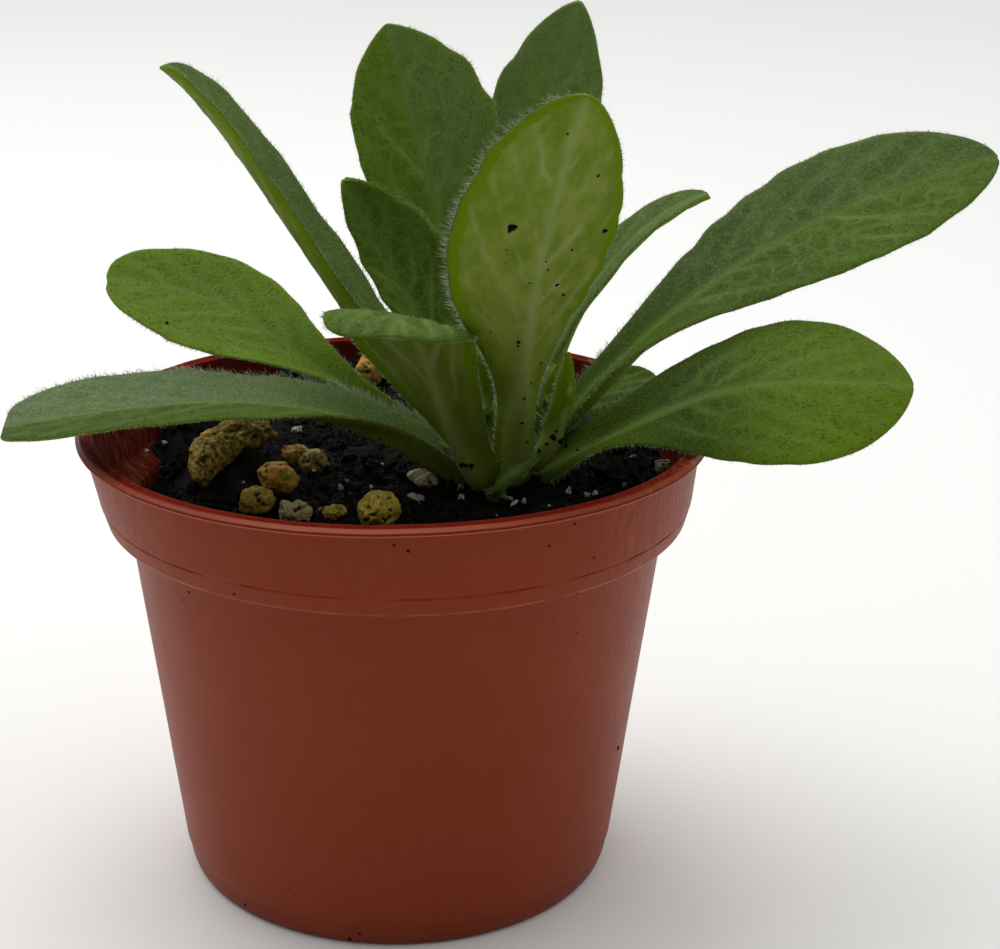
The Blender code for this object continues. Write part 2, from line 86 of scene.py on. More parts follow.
# Heaps of peat: x, y, height, width.
MOUNDS = [(15.5, 0.5, 2.2, 8.0), (-22.8, 7.2, 3.2, 2.9), (-25.6, 3.0, 1.2, 2.4)]
# The bed's edge stays this far from the pot's wall, which steps in below LEDGE_Z.
SOIL_GAP, LEDGE_Z, WALL_R = 0.5, 58.8, 41.4

# White bits that lie on the peat: x, y, size.
PERLITE = [
    (-36.8, 18.0, 1.2), (-36.4, 14.6, 1.0), (-39.1, 13.0, 0.8), (-16.6, 19.8, 1.7), (-8.4, -1.0, 1.2),
    (-7.6, 0.8, 0.9), (-10.3, -10.7, 1.2), (-3.9, -0.9, 0.8), (2.8, -4.4, 1.5), (9.2, -5.8, 0.9),
    (9.1, -2.8, 1.2), (16.2, -6.9, 0.7), (17.0, -8.3, 0.8), (18.4, -8.1, 1.0), (24.9, -4.9, 1.1),
    (27.4, -6.3, 1.0), (28.6, -6.0, 0.8), (34.9, 8.1, 0.8), (-22.8, 0.8, 0.5), (-2.6, 6.5, 0.5),
    (-12.6, 3.4, 0.5), (14.5, -11.0, 0.4), (22.0, -9.5, 0.5), (33.0, -2.0, 0.6), (20.0, 24.0, 1.1),
    (-12.0, 30.0, 0.9), (6.0, 33.0, 1.2), (30.0, 18.0, 0.8), (-25.0, 28.0, 1.0), (34.0, -12.0, 0.9),
]

# Clay granules, each of one or more lumps: place of the middle, its height above the soil, half sizes,
# turn, tilt of its right end, bend, how orange it is (bleached when below zero), and how much painted
# shade from the leaves above darkens it in mottled patches. A lump is given by its place and size as
# shares of the half sizes, and by how much more orange it is.
GRANULES = {
    "granule_bean": ((-27.2, 7.2), 2.9, (8.4, 3.0, 3.2), 51, 14, 0.05, 0.2, 0.74, []),
    "granule_orange": ((-17.4, -1.6), 1.7, (3.8, 2.3, 2.3), -50, 0, 0.0, 1.3, 0.0, []),
    "granule_left_front": ((-20.0, -7.2), 1.2, (2.7, 2.3, 2.1), 35, 0, 0.0, 0.1, 0.0, []),
    "granule_flat": ((-14.5, 7.8), 1.4, (3.9, 2.2, 2.0), -30, 0, 0.0, 0.3, 0.74, [
        ((-0.42, 0.1, 0.1), (0.62, 0.85, 0.9), 0.3), ((0.45, -0.1, -0.1), (0.58, 0.95, 1.0), -0.5)]),
    "granule_front": ((-14.0, -12.6), 1.1, (2.3, 1.9, 1.8), 15, 0, 0.0, -0.1, 0.0, [
        ((-0.45, 0.2, 0.1), (0.5, 0.75, 0.9), -0.6), ((0.3, -0.1, 0.0), (0.75, 0.95, 0.95), -0.35)]),
    "granule_front_small": ((-8.3, -13.2), 0.7, (1.8, 1.2, 1.1), 0, 0, 0.0, 0.2, 0.0, []),
    "granule_near_rim": ((-2.1, -13.2), 1.9, (3.2, 2.7, 2.8), 40, 0, 0.0, 0.0, 0.0, []),
    "granule_chip": ((3.6, 0.2), 0.9, (2.7, 1.4, 1.3), -42, 0, 0.0, -0.75, 0.0, []),
    "granule_back": ((-6.2, 35.6), 1.2, (2.4, 2.1, 2.6), 10, 0, 0.0, 0.8, 0.0, []),
    "granule_right": ((38.9, 4.6), 0.6, (1.4, 1.1, 1.2), 30, 0, 0.0, -0.7, 0.0, []),
}

# Crumbs of dirt on the leaves and the pot: the piece, and near it the place and size of each crumb.
SPECKS = {
    "blade_front_tall": [
        (16.0, -23.1, 102.7, 1.2), (28.4, -17.3, 101.1, 0.8), (28.0, -17.4, 101.5, 0.4),
        (27.1, -21.5, 109.4, 0.45), (24.0, -18.2, 98.7, 0.35), (22.2, -16.7, 93.4, 0.55),
        (23.1, -15.2, 91.7, 0.5), (17.2, -14.4, 84.7, 0.6), (17.1, -14.2, 84.0, 0.35),
        (22.9, -25.5, 115.6, 0.35), (15.4, -22.1, 99.5, 0.3), (15.3, -21.2, 97.7, 0.3),
        (20.6, -19.5, 97.3, 0.3), (20.9, -18.5, 96.0, 0.3), (18.5, -18.8, 94.2, 0.3),
        (20.5, -16.9, 92.2, 0.3), (13.4, -15.6, 86.4, 0.3), (13.4, -11.3, 80.9, 0.3),
        (20.4, -10.9, 80.7, 0.35), (19.0, -11.1, 77.8, 0.35), (18.1, -11.0, 75.5, 0.45),
        (17.9, -9.6, 71.4, 0.5), (18.7, -7.4, 67.9, 0.5), (19.2, -4.4, 62.5, 0.6)],
    "blade_left_upper": [(-33.6, 4.2, 81.3, 0.55), (-29.5, 3.0, 77.3, 0.6)],
    "blade_left_low": [(-2.1, -6.8, 67.8, 0.45)],
    "blade_front_left": [(9.5, -7.3, 64.2, 0.9), (10.8, -7.2, 64.1, 0.8), (10.1, -7.3, 64.2, 0.7)],
    "blade_young": [
        (22.4, -4.7, 67.7, 0.8), (23.4, -4.2, 67.0, 0.9), (21.6, -4.4, 66.6, 0.6),
        (20.6, -4.4, 65.6, 0.5), (22.9, -4.4, 68.6, 0.5)],
    "blade_right_low": [(24.5, 0.6, 64.5, 0.6), (26.0, -1.0, 64.5, 0.5)],
    "blade_right_upper": [(27.7, 0.2, 73.0, 0.4)],
    "moulded_pot": [
        (-19.7, -37.6, 56.8, 0.3), (-21.3, -23.8, 1.8, 0.45), (-4.1, -31.7, 2.2, 0.4),
        (-5.6, -31.0, 1.0, 0.6), (32.8, -11.4, 21.7, 0.6), (25.7, -28.2, 47.7, 0.3),
        (-27.9, -26.5, 51.1, 0.3), (-27.0, -27.8, 52.8, 0.3), (1.6, -43.6, 66.5, 0.35),
        (3.4, -43.5, 65.6, 0.35), (24.7, -36.0, 66.7, 0.35), (21.4, -37.9, 64.3, 0.3),
        (25.3, -33.6, 55.9, 0.3)],
}

CROWN_AT = (15.7, 2.5)
CROWN_OUTLINE = [(0.0, 71.6), (1.2, 71.0), (2.6, 69.4), (3.6, 66.6), (4.6, 63.0), (5.0, 60.0), (5.0, 50.0)]

# Each leaf: foot on the crown (turn, height), two handles and tip of the midrib curve, heading and
# roll at the foot and at the blade, blade width, skew that narrows one half, slope of the stalk's
# channel, fold of each half, stalk share of the width, where it is widest, its point, and how far its
# teeth stand out. Then how ripe (yellow-green) it is low and high up, how grey its right and left
# halves are, the depth of its green low and high up, partly its own tone and partly painted shade, with
# painted light that makes it paler when below zero, how strongly it puckers and waves, how clear its
# side veins are, and how long the hairs of its right and left margins are low and high up. USUAL is
# what holds where a leaf doesn't say.
USUAL = dict(roll=(0, 0), skew=0, channel=36, teeth=0.1)
LEAVES = {
    "leaf_left_low": dict(
        foot=(206, 60), handles=[(-9.2, -9, 76.6), (-25.1, -14, 76.6)], tip=(-53.5, -16, 71.6),
        heading=(202, 184), roll=(-10, -4), width=20.4, skew=-0.09, channel=46, fold=7,
        stalk=0.34, widest=0.81, point=0.25,
        ripe=(0.6, 0.6), grey=(0.95, 0.0), depth_and_shading=(0.4, 0.75),
        relief=0.5, veins=0.5, fuzz=((1.5, 1.6), (1.0, 0.6))),
    "leaf_left_upper": dict(
        foot=(169, 62), handles=[(-22.5, 1.8, 78), (-18.5, 16.6, 82.2)], tip=(-43.3, 11.4, 85.6),
        heading=(174, 184), roll=(-1, -28), width=22, skew=0.18, fold=9,
        stalk=0.29, widest=0.66, point=0.35,
        ripe=(0.5, 0.7), grey=(0.15, 0.1), depth_and_shading=(-0.9, -0.2),
        relief=0.35, veins=0.6, fuzz=((1.0, 0.4), (1.6, 0.6))),
    "leaf_left_tall": dict(
        foot=(160, 67), handles=[(-6.8, 3.5, 74.4), (-20.7, 4.1, 110.1)], tip=(-32.9, 5.5, 118.1),
        heading=(162, 175), roll=(-7, 5), width=16.2, skew=-0.04, fold=22,
        stalk=0.31, widest=0.52, point=0.44,
        ripe=(0.3, 0.4), grey=(0.5, 0.3), depth_and_shading=(0.3, 0.1),
        relief=0.7, veins=0.5, fuzz=((1.4, 0.9), (1.0, 0.4))),
    "leaf_mid_left": dict(
        foot=(137.6, 61.4), handles=[(4.9, 9.9, 80.7), (-1.2, 15.9, 83.6)], tip=(-8.6, 15.6, 100.2),
        heading=(135, 108), roll=(-11, -10), width=12.9, skew=-0.43, fold=17,
        stalk=0.25, widest=0.59, point=0.6, teeth=0.3,
        ripe=(0.3, 0.4), grey=(0.1, 0.1), depth_and_shading=(0.1, 0.0),
        relief=1.0, veins=0.9, fuzz=((0.8, 0.7), (0.8, 0.5))),
    "leaf_back_left": dict(
        foot=(115.8, 68), handles=[(8, 22.9, 78.8), (2.7, 25.6, 101.9)], tip=(-2.9, 28.3, 121),
        heading=(110, 96), roll=(-10, -7), width=21.5, skew=-0.14, fold=4,
        stalk=0.25, widest=0.73, point=0.8, teeth=0.45,
        ripe=(0.4, 0.5), grey=(0.45, 0.1), depth_and_shading=(-0.3, -0.3),
        relief=0.9, veins=0.9, fuzz=((0.8, 0.8), (0.8, 0.4))),
    "leaf_back_right": dict(
        foot=(70, 67.6), handles=[(18.2, 20, 76.4), (17.4, 34.9, 99.8)], tip=(26, 33.1, 124),
        heading=(76, 86), roll=(0, -1), width=19.3, skew=0.01, fold=7,
        stalk=0.26, widest=0.62, point=0.69, teeth=0.35,
        ripe=(0.3, 0.4), grey=(0.6, 0.6), depth_and_shading=(-0.5, -0.5),
        relief=0.7, veins=0.8, fuzz=((0.6, 0.5), (0.6, 0.4))),
    "leaf_front_tall": dict(
        foot=(280, 61), handles=[(18.3, -13, 87.5), (18, -21.4, 95.3)], tip=(25.1, -25.6, 120.7),
        heading=(274, 269), roll=(-7, 21), width=23.8, skew=-0.1, fold=4,
        stalk=0.25, widest=0.68, point=0.58, teeth=0.35,
        ripe=(0.4, 0.4), grey=(0.3, 0.3), depth_and_shading=(0.0, 0.0),
        relief=0.7, veins=0.7, fuzz=((0.5, 1.8), (0.5, 0.5))),
    "leaf_front_left": dict(
        foot=(240, 60.6), handles=[(7.8, -10, 65.2), (1.8, -6, 94.8)], tip=(0.2, -21.1, 87),
        heading=(240, 255), roll=(2, -5), width=21.5, fold=-6,
        stalk=0.34, widest=0.85, point=0.25,
        ripe=(0.3, 0.4), grey=(0.15, 0.15), depth_and_shading=(0.2, 0.3),
        relief=0.8, veins=0.7, fuzz=((1.6, 0.8), (0.5, 0.5))),
    "leaf_right_tall": dict(
        foot=(36, 67), handles=[(22.1, 7.1, 77.6), (31.1, 13.1, 94.9)], tip=(44.9, 14.6, 98.8),
        heading=(38, 15), roll=(0, 3), width=10, fold=17,
        stalk=0.30, widest=0.59, point=0.46,
        ripe=(0.2, 0.3), grey=(0.5, 0.5), depth_and_shading=(0.1, 0.1),
        relief=0.7, veins=0.5, fuzz=((0.7, 0.5), (0.8, 0.6))),
    "leaf_right_upper": dict(
        foot=(8, 64.4), handles=[(40.3, 1, 88.3), (53.2, 6.1, 97.1)], tip=(85.2, 7.9, 106.4),
        heading=(8, 5), roll=(17, 44), width=19.7, skew=-0.05, fold=10,
        stalk=0.27, widest=0.74, point=0.6, teeth=0.2,
        ripe=(0.4, 0.3), grey=(0.2, 0.6), depth_and_shading=(0.65, 0.1),
        relief=0.8, veins=0.8, fuzz=((1.0, 0.4), (1.0, 0.5))),
    "leaf_right_low": dict(
        foot=(344, 61), handles=[(41.4, -6.1, 73.2), (43, -12.2, 80.6)], tip=(71.6, -13.5, 78.6),
        heading=(350, 353), roll=(29, 36), width=24.7, skew=-0.07, fold=-3,
        stalk=0.32, widest=0.78, point=0.59,
        ripe=(0.6, 0.9), grey=(0.0, 0.1), depth_and_shading=(1.0, 0.15),
        relief=0.35, veins=0.45, fuzz=((1.2, 0.3), (1.3, 0.3))),
    "leaf_right_small": dict(
        foot=(44, 61.6), handles=[(27, 8, 67.6), (32, 11.5, 71.6)], tip=(38.4, 12.6, 70.9),
        heading=(38, 20), roll=(5, 15), width=9.6, fold=8,
        stalk=0.38, widest=0.66, point=0.6,
        ripe=(0.3, 0.3), grey=(0.0, 0.0), depth_and_shading=(0.4, 0.4),
        relief=1.0, veins=0.8, fuzz=((1.0, 0.8), (1.0, 0.8))),
    "leaf_young": dict(
        foot=(310, 63.4), handles=[(24.2, -4.2, 68), (24.9, -4.5, 75)], tip=(24.1, -4.5, 80.4),
        heading=(306, 300), width=4.2, fold=30,
        stalk=0.60, widest=0.40, point=1.05, teeth=0.0,
        ripe=(0.5, 0.5), grey=(0.0, 0.0), depth_and_shading=(0.0, 0.0),
        relief=0.6, veins=0.6, fuzz=((1.0, 0.8), (1.0, 0.8))),
    "leaf_young_pale": dict(
        foot=(350, 67.4), handles=[(20.5, 2, 70), (22, 3, 73)], tip=(22.5, 3.5, 76),
        heading=(350, 0), width=4, fold=30,
        stalk=0.60, widest=0.50, point=0.8, teeth=0.0,
        ripe=(0.4, 0.6), grey=(0.9, 0.9), depth_and_shading=(0.0, 0.0),
        relief=0.6, veins=0.6, fuzz=((1.5, 1.5), (1.5, 1.5))),
    "leaf_young_middle": dict(
        foot=(210, 69.2), handles=[(12, 1, 71.5), (12, 0, 75)], tip=(12, -0.5, 79),
        heading=(212, 230), width=4.4, fold=30,
        stalk=0.60, widest=0.50, point=0.8, teeth=0.0,
        ripe=(0.3, 0.3), grey=(0.1, 0.1), depth_and_shading=(0.4, 0.4),
        relief=0.6, veins=0.6, fuzz=((1.0, 1.0), (1.0, 1.0))),
}
# A small scale leaf at the foot of the rosette, which the solids leave out.
LEAVES["scale_front"] = dict(
    foot=(258, 59), handles=[(13.2, -7.6, 60.6), (16.2, -8.6, 63.2)], tip=(20.4, -7.0, 65.6),
    heading=(268, 330), roll=(10, 55), width=3.6, channel=20, fold=10,
    stalk=0.6, widest=0.5, point=0.8, teeth=0.0,
    ripe=(0.2, 0.2), grey=(0.0, 0.0), depth_and_shading=(0.7, 0.6),
    relief=0.5, veins=0.3, fuzz=((0.6, 0.6), (0.6, 0.6)))
LEAVES = {name: {**USUAL, **leaf} for name, leaf in LEAVES.items()}
SMALL_WIDTH = 6.0
TOOTH_PITCH = 7.0
WAVE_LENGTH, RIPPLE_LENGTH, SCALLOP, RIPPLE = 6.5, 14.0, 0.15, 0.2
VEIN_PITCH = 8.5

# The camera that was fitted to the pot's lip, collar and base, and the large light above.
CAMERA_AT, CAMERA_PITCH, CAMERA_ROLL, LENS, SENSOR = (14.9, -302.0, 171.0), 20.15, 0.77, 79.2, 36.0
KEY_AT, KEY_SIZE, KEY_AIM = (-250.0, 250.0, 750.0), 700.0, (0.0, 0.0, 70.0)


# The same curves as the solids


def smooth_step(t):
    t = np.clip(t, 0.0, 1.0)
    return t * t * (3.0 - 2.0 * t)


def mix(a, b, t):
    return a + (b - a) * t


def unit(vectors):
    return vectors / np.maximum(np.linalg.norm(vectors, axis=-1, keepdims=True), 1e-9)


def lumps(points, size, depth=2):
    """Smooth noise of about -1 to 1 for an array of points, with features of this size."""
    flat = np.asarray(points, float).reshape(-1, 3) / size
    made = [noise.fractal(Vector(p), 1.0, 2.0, depth) for p in flat]
    return np.array(made).reshape(np.shape(points)[:-1])


def soil_height(x, y):
    x, y = np.asarray(x, float), np.asarray(y, float)
    spots = np.stack([x, y, np.full_like(x, 3.0)], -1)
    slope = 0.05 * y + 0.0014 * y * np.maximum(y, 0.0) + 0.03 * x
    sink = LEFT_SINK * smooth_step((-x - 27.0) / 11.0) * smooth_step((21.0 - y) / 18.0)
    bank = BANK_HEIGHT * smooth_step((np.hypot(x, y) - 30.0) / 11.0)
    bank = bank * smooth_step((y - 5.0) / 18.0) * smooth_step((12.0 - x) / 20.0)
    return SOIL_LEVEL + slope - sink + bank + lumps(spots, LUMP_SIZE) * LUMP_HEIGHT


def ground(x, y):
    """The soil with the peat that is heaped against the stem and in the hollow of the bean granule."""
    high = soil_height(x, y)
    for at_x, at_y, height, width in MOUNDS:
        away = (np.asarray(x, float) - at_x) ** 2 + (np.asarray(y, float) - at_y) ** 2
        high = high + height * np.exp(-away / width ** 2)
    return high


def crown_radius(z):
    side = CROWN_OUTLINE[1:]
    for (r_high, z_high), (r_low, z_low) in zip(side, side[1:]):
        if z_low <= z <= z_high:
            return mix(r_low, r_high, (z - z_low) / (z_high - z_low))
    return side[-1][0]


def leaf_foot(leaf):
    turn, height = radians(leaf["foot"][0]), leaf["foot"][1]
    reach = crown_radius(height) + 1.15
    return (CROWN_AT[0] + reach * cos(turn), CROWN_AT[1] + reach * sin(turn), height)


def leaf_length(leaf):
    return float(np.linalg.norm(np.subtract(leaf["tip"], leaf_foot(leaf))))


def width_share(leaf, s):
    """Half width along the leaf as a share of the widest: a broad stalk that opens into a spoon."""
    stalk, widest = leaf["stalk"], leaf["widest"]
    opened = mix(stalk, 1.0, smooth_step((s - 0.12) / (widest - 0.12)))
    past = np.clip((s - widest) / (1.0 - widest), 0.0, 1.0)
    return opened * np.maximum(1.0 - past ** 2.2, 0.0) ** leaf["point"]


def leaf_frame(leaf, s):
    """Points on the midrib, and there the directions along it, across the blade and out of its face."""
    a, b, c, d = np.array([leaf_foot(leaf), *leaf["handles"], leaf["tip"]], float)
    s = s[:, None]
    r = 1.0 - s
    point = a * r ** 3 + 3 * b * s * r * r + 3 * c * s * s * r + d * s ** 3
    along = unit((b - a) * r * r + 2 * (c - b) * r * s + (d - c) * s * s)
    ease = smooth_step(s / 0.55)
    heading = np.radians(mix(*leaf["heading"], ease))
    across = np.concatenate([-np.sin(heading), np.cos(heading), 0.0 * heading], axis=1)
    across = unit(across - along * np.sum(across * along, axis=1, keepdims=True))
    out = np.cross(along, across)
    roll = np.radians(mix(*leaf["roll"], ease))
    c, s = np.cos(roll), np.sin(roll)
    return point, along, across * c + out * s, out * c - across * s


def leaf_middle(leaf, s, v):
    """Middle layer of the leaf, a point for each row s and column v, and the half width at each."""
    point, along, across, out = leaf_frame(leaf, s)
    side = np.where(v > 0, 1.0, -1.0)[None, :]
    v = v[None, :]
    share = width_share(leaf, s)[:, None]
    half = leaf["width"] / 2 * share * (1.0 + leaf["skew"] * side)
    on_blade = smooth_step((share - 0.45) / 0.3) * v * v
    run = s[:, None] * leaf_length(leaf)
    tooth = (run / TOOTH_PITCH + 0.3 * side + 0.1 * leaf["foot"][0]) % 1.0
    tooth = np.sin(tau / 2 * tooth ** 1.7) ** 0.8 - 0.6
    wave = leaf["relief"] * SCALLOP * np.sin(tau * run / WAVE_LENGTH + leaf["foot"][0] + side)
    reach = half * np.abs(v) + (wave + leaf["teeth"] * tooth) * on_blade
    fold_in = mix(14.0, leaf["channel"], smooth_step(s / 0.2))
    fold = np.radians(mix(fold_in, leaf["fold"], smooth_step((s - 0.1) / 0.45)))[:, None]
    ripple = leaf["relief"] * RIPPLE * np.cos(tau * run / RIPPLE_LENGTH + side)
    lift = reach * np.abs(v) ** 0.7 * np.sin(fold) + ripple * on_blade
    points = point[:, None] + across[:, None] * (side * reach * np.cos(fold))[..., None]
    return points + out[:, None] * lift[..., None], half


def leaf_skin(leaf, rows, columns, look):
    """The closed skin of a leaf as rows of rings, with what each point's colour depends on.

    A ring runs over the upper face from the right margin to the left and back over the underside.
    """
    s = 0.9992 * (1.0 - (1.0 - np.linspace(0.0, 1.0, rows)) ** 1.45)
    lin = np.linspace(-1.0, 1.0, columns)
    v = 0.55 * lin + 0.45 * np.sin(lin * tau / 4)
    middle, half = leaf_middle(leaf, s, v)
    side = np.sign(v)[None, :]
    length = leaf_length(leaf)
    along_mm = s[:, None] * length
    across_mm = half * v[None, :]
    share = width_share(leaf, s)[:, None]

    normal = unit(np.cross(np.gradient(middle, axis=0), np.gradient(middle, axis=1)))

    seed = leaf["foot"][0]
    spots = np.stack(np.broadcast_arrays(along_mm, across_mm, np.full_like(across_mm, seed)), -1)
    wide = leaf["width"] / 2
    out_share = np.abs(across_mm) / wide
    rise = wide * (1.5 * out_share + 0.6 * out_share ** 2)
    pitch = VEIN_PITCH * (0.55 + 0.45 * length / 70.0)
    phase = (along_mm - rise) / pitch + 0.25 * side + lumps(spots, 11.0) * 0.16
    away = np.abs(phase - np.round(phase)) * pitch
    on_blade = smooth_step((share - 0.34) / 0.4) * (1.0 - np.abs(v[None, :]) ** 4)
    line = np.exp(-(away / 0.6) ** 2) * on_blade
    pucker = (0.5 - 0.5 * np.cos(tau * phase)) * on_blade * (1.0 - np.exp(-(across_mm / 2.0) ** 2))
    pucker = pucker + (lumps(spots, 3.2, 1) * 0.35 + lumps(spots + 40.0, 1.5, 1) * 0.12) * on_blade
    stalk = 1.0 - smooth_step(s / 0.55)[:, None]
    rib = np.exp(-(across_mm / mix(0.8, 1.6, stalk)) ** 2)

    relief = look.vein_relief * leaf["relief"]
    thick = mix(look.blade_thickness, look.wing_thickness, stalk) / MM / 2
    rounded = np.sqrt(np.maximum(1.0 - np.abs(v[None, :]) ** 7, 0.0))
    upper = thick * rounded + (0.28 * pucker - 0.12 * line) * relief - 0.25 * rib * (1.0 - s[:, None])
    under = thick * rounded + (0.14 * line - 0.24 * pucker) * relief
    under = under + rib * mix(0.2, look.rib_depth / MM, stalk) * rounded * (1.0 - 0.6 * s[:, None] ** 3)
    top = middle + normal * upper[..., None]
    bottom = middle - normal * under[..., None]

    ring = np.concatenate([top, bottom[:, -2:0:-1]], axis=1)
    is_upper = np.concatenate([np.ones(columns), np.zeros(columns - 2)])
    is_upper[[0, columns - 1]] = 0.5

    def round_ring(values):
        values = np.broadcast_to(values, middle.shape[:2])
        return np.concatenate([values, values[:, -2:0:-1]], axis=1)

    from_margin = half * (1.0 - np.abs(v[None, :]))
    ripe = mix(*leaf["ripe"], smooth_step((s[:, None] - 0.45) / 0.5)) + 0.2 * np.abs(v[None, :]) ** 4
    grey = mix(*leaf["grey"], smooth_step(v[None, :] * 4.0 + 0.5))
    # The depth of green is partly the leaf's own tone and partly painted shade; below zero it is painted
    # light.
    depth_and_shading = mix(*leaf["depth_and_shading"], smooth_step((s[:, None] - 0.35) / 0.5))
    place = np.stack([round_ring(along_mm), round_ring(across_mm), round_ring(from_margin)], -1)
    form = np.stack([round_ring(phase), np.broadcast_to(is_upper, ring.shape[:2]), round_ring(ripe)], -1)
    shade = np.stack([round_ring(stalk), round_ring(grey), round_ring(on_blade)], -1)
    ribbed = rib * (1.0 - 0.5 * s[:, None])
    tone = np.stack([round_ring(ribbed), round_ring(depth_and_shading), round_ring(leaf["veins"])], -1)
    return {"points": ring, "s": s, "upper": is_upper,
            "fields": {"place": place, "form": form, "shade": shade, "tone": tone}}


# Making meshes


def linear(code):
    """A colour given as sRGB hex, as the linear values that Blender works in."""
    parts = [int(code[i:i + 2], 16) / 255 for i in (1, 3, 5)]
    return tuple(c / 12.92 if c <= 0.04045 else ((c + 0.055) / 1.055) ** 2.4 for c in parts)


def deselect():
    if bpy.context.object and bpy.context.object.mode != "OBJECT":
        bpy.ops.object.mode_set(mode="OBJECT")
    bpy.ops.object.select_all(action="DESELECT")


def keep(piece, name, material, slot, *nodes):
    """Names the finished piece, gives it its material, and ties it to the model."""
    piece.name = piece.data.name = name
    piece.data.materials.clear()
    piece.data.materials.append(material)
    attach(piece, "root")
    if nodes:
        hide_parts(*nodes)
    return piece


def spun(outline, steps):
    """A solid of revolution: one point is drawn out along the outline, which is spun round Z."""
    deselect()
    bpy.ops.mesh.primitive_plane_add(size=0.01)
    piece = bpy.context.object
    bpy.ops.object.mode_set(mode="EDIT")
    bpy.ops.mesh.select_all(action="SELECT")
    bpy.ops.mesh.merge(type="CENTER")
    points = [Vector((r, 0.0, z)) * MM for r, z in outline]
    bpy.ops.transform.translate(value=points[0])
    for before, after in zip(points, points[1:]):
        bpy.ops.mesh.extrude_region_move(TRANSFORM_OT_translate={"value": after - before})
    if outline[0][0] > 0.0 and outline[-1][0] > 0.0:
        bpy.ops.mesh.extrude_region_move(TRANSFORM_OT_translate={"value": points[0] - points[-1]})
        bpy.ops.mesh.select_all(action="SELECT")
        bpy.ops.mesh.remove_doubles(threshold=1e-6)
    bpy.ops.mesh.select_all(action="SELECT")
    bpy.ops.mesh.spin(steps=steps, angle=tau, center=(0, 0, 0), axis=(0, 0, 1))
    bpy.ops.mesh.select_all(action="SELECT")
    bpy.ops.mesh.remove_doubles(threshold=1e-6)
    bpy.ops.mesh.normals_make_consistent(inside=False)
    bpy.ops.object.mode_set(mode="OBJECT")
    return piece


def apply_all(piece):
    """Applies every modifier of a piece."""
    deselect()
    piece.select_set(True)
    bpy.context.view_layer.objects.active = piece
    for modifier in list(piece.modifiers):
        bpy.ops.object.modifier_apply(modifier=modifier.name)
    return piece


def shade_by_angle(piece, degrees):
    deselect()
    piece.select_set(True)
    bpy.context.view_layer.objects.active = piece
    bpy.ops.object.shade_smooth_by_angle(angle=radians(degrees))


def get_points(mesh):
    flat = np.empty(len(mesh.vertices) * 3)
    mesh.vertices.foreach_get("co", flat)
    return flat.reshape(-1, 3)


def set_points(mesh, points):
    mesh.vertices.foreach_set("co", np.asarray(points, float).ravel())
    mesh.update()


def give(mesh, name, values):
    """Stores three values a point under a name that the material reads."""
    layer = mesh.attributes.new(name, "FLOAT_VECTOR", "POINT")
    layer.data.foreach_set("vector", np.asarray(values, float).ravel())


def from_triangles(name, points, triangles):
    mesh = bpy.data.meshes.new(name)
    mesh.vertices.add(len(points))
    mesh.vertices.foreach_set("co", np.asarray(points, float).ravel())
    mesh.loops.add(len(triangles) * 3)
    mesh.loops.foreach_set("vertex_index", np.asarray(triangles, int).ravel())
    mesh.polygons.add(len(triangles))
    mesh.polygons.foreach_set("loop_start", np.arange(0, len(triangles) * 3, 3))
    mesh.polygons.foreach_set("use_smooth", np.ones(len(triangles), bool))
    mesh.update(calc_edges=True)
    piece = bpy.data.objects.new(name, mesh)
    bpy.context.scene.collection.objects.link(piece)
    return piece


def copies(model, places, turns, sizes):
    """Points and triangles of many copies of one small mesh, each turned and stretched its own way."""
    points = get_points(model.data)
    model.data.calc_loop_triangles()
    triangles = np.array([t.vertices[:] for t in model.data.loop_triangles])
    sizes = np.broadcast_to(np.asarray(sizes).reshape(len(places), -1), (len(places), 3))
    spread = np.einsum("nij,nvj->nvi", turns, points[None] * sizes[:, None])
    spread += np.asarray(places)[:, None]
    number = np.arange(len(places))[:, None, None] * len(points)
    return spread.reshape(-1, 3), (triangles[None] + number).reshape(-1, 3)


def random_turns(rng, count):
    """Rotation matrices in all directions."""
    q = unit(rng.normal(size=(count, 4)))
    w, x, y, z = q.T
    rows = [1 - 2 * (y * y + z * z), 2 * (x * y - z * w), 2 * (x * z + y * w),
            2 * (x * y + z * w), 1 - 2 * (x * x + z * z), 2 * (y * z - x * w),
            2 * (x * z - y * w), 2 * (y * z + x * w), 1 - 2 * (x * x + y * y)]
    return np.stack(rows, -1).reshape(-1, 3, 3)


def pebble(steps, knobs, seed):
    """A small knobbly stone of radius 1, to be copied."""
    deselect()
    bpy.ops.mesh.primitive_ico_sphere_add(subdivisions=steps, radius=1.0)
    piece = bpy.context.object
    points = get_points(piece.data)
    set_points(piece.data, points * (1.0 + knobs * lumps(points + seed, 0.9))[:, None])
    return piece


def hairs(roots, aims, lengths, widths, bends=None):
    """Points and triangles of tapered three-sided hairs, closed at the root, which may bend half-way."""
    side = unit(np.cross(aims, np.array([0.31, 0.52, 0.79])))
    third = np.cross(aims, side)
    turn = np.arange(3) * tau / 3
    ring = side[:, None] * np.cos(turn)[None, :, None] + third[:, None] * np.sin(turn)[None, :, None]
    rings = [roots[:, None] + ring * (widths / 2)[:, None, None]]
    tip = roots + aims * lengths[:, None]
    if bends is not None:
        way = roots + aims * (lengths * 0.55)[:, None] + bends * 0.25
        rings.append(way[:, None] + ring * (widths * 0.36)[:, None, None])
        tip = tip + bends
    points = np.concatenate([*rings, tip[:, None]], axis=1)
    top = 3 * len(rings)
    pattern = [(0, 2, 1)]
    for i in range(3):
        j = (i + 1) % 3
        for low in range(0, top - 3, 3):
            pattern += [(low + i, low + j, low + 3 + j), (low + i, low + 3 + j, low + 3 + i)]
        pattern.append((top - 3 + i, top - 3 + j, top))
    number = np.arange(len(roots))[:, None, None] * (top + 1)
    return points.reshape(-1, 3), (np.array(pattern)[None] + number).reshape(-1, 3)


# Materials


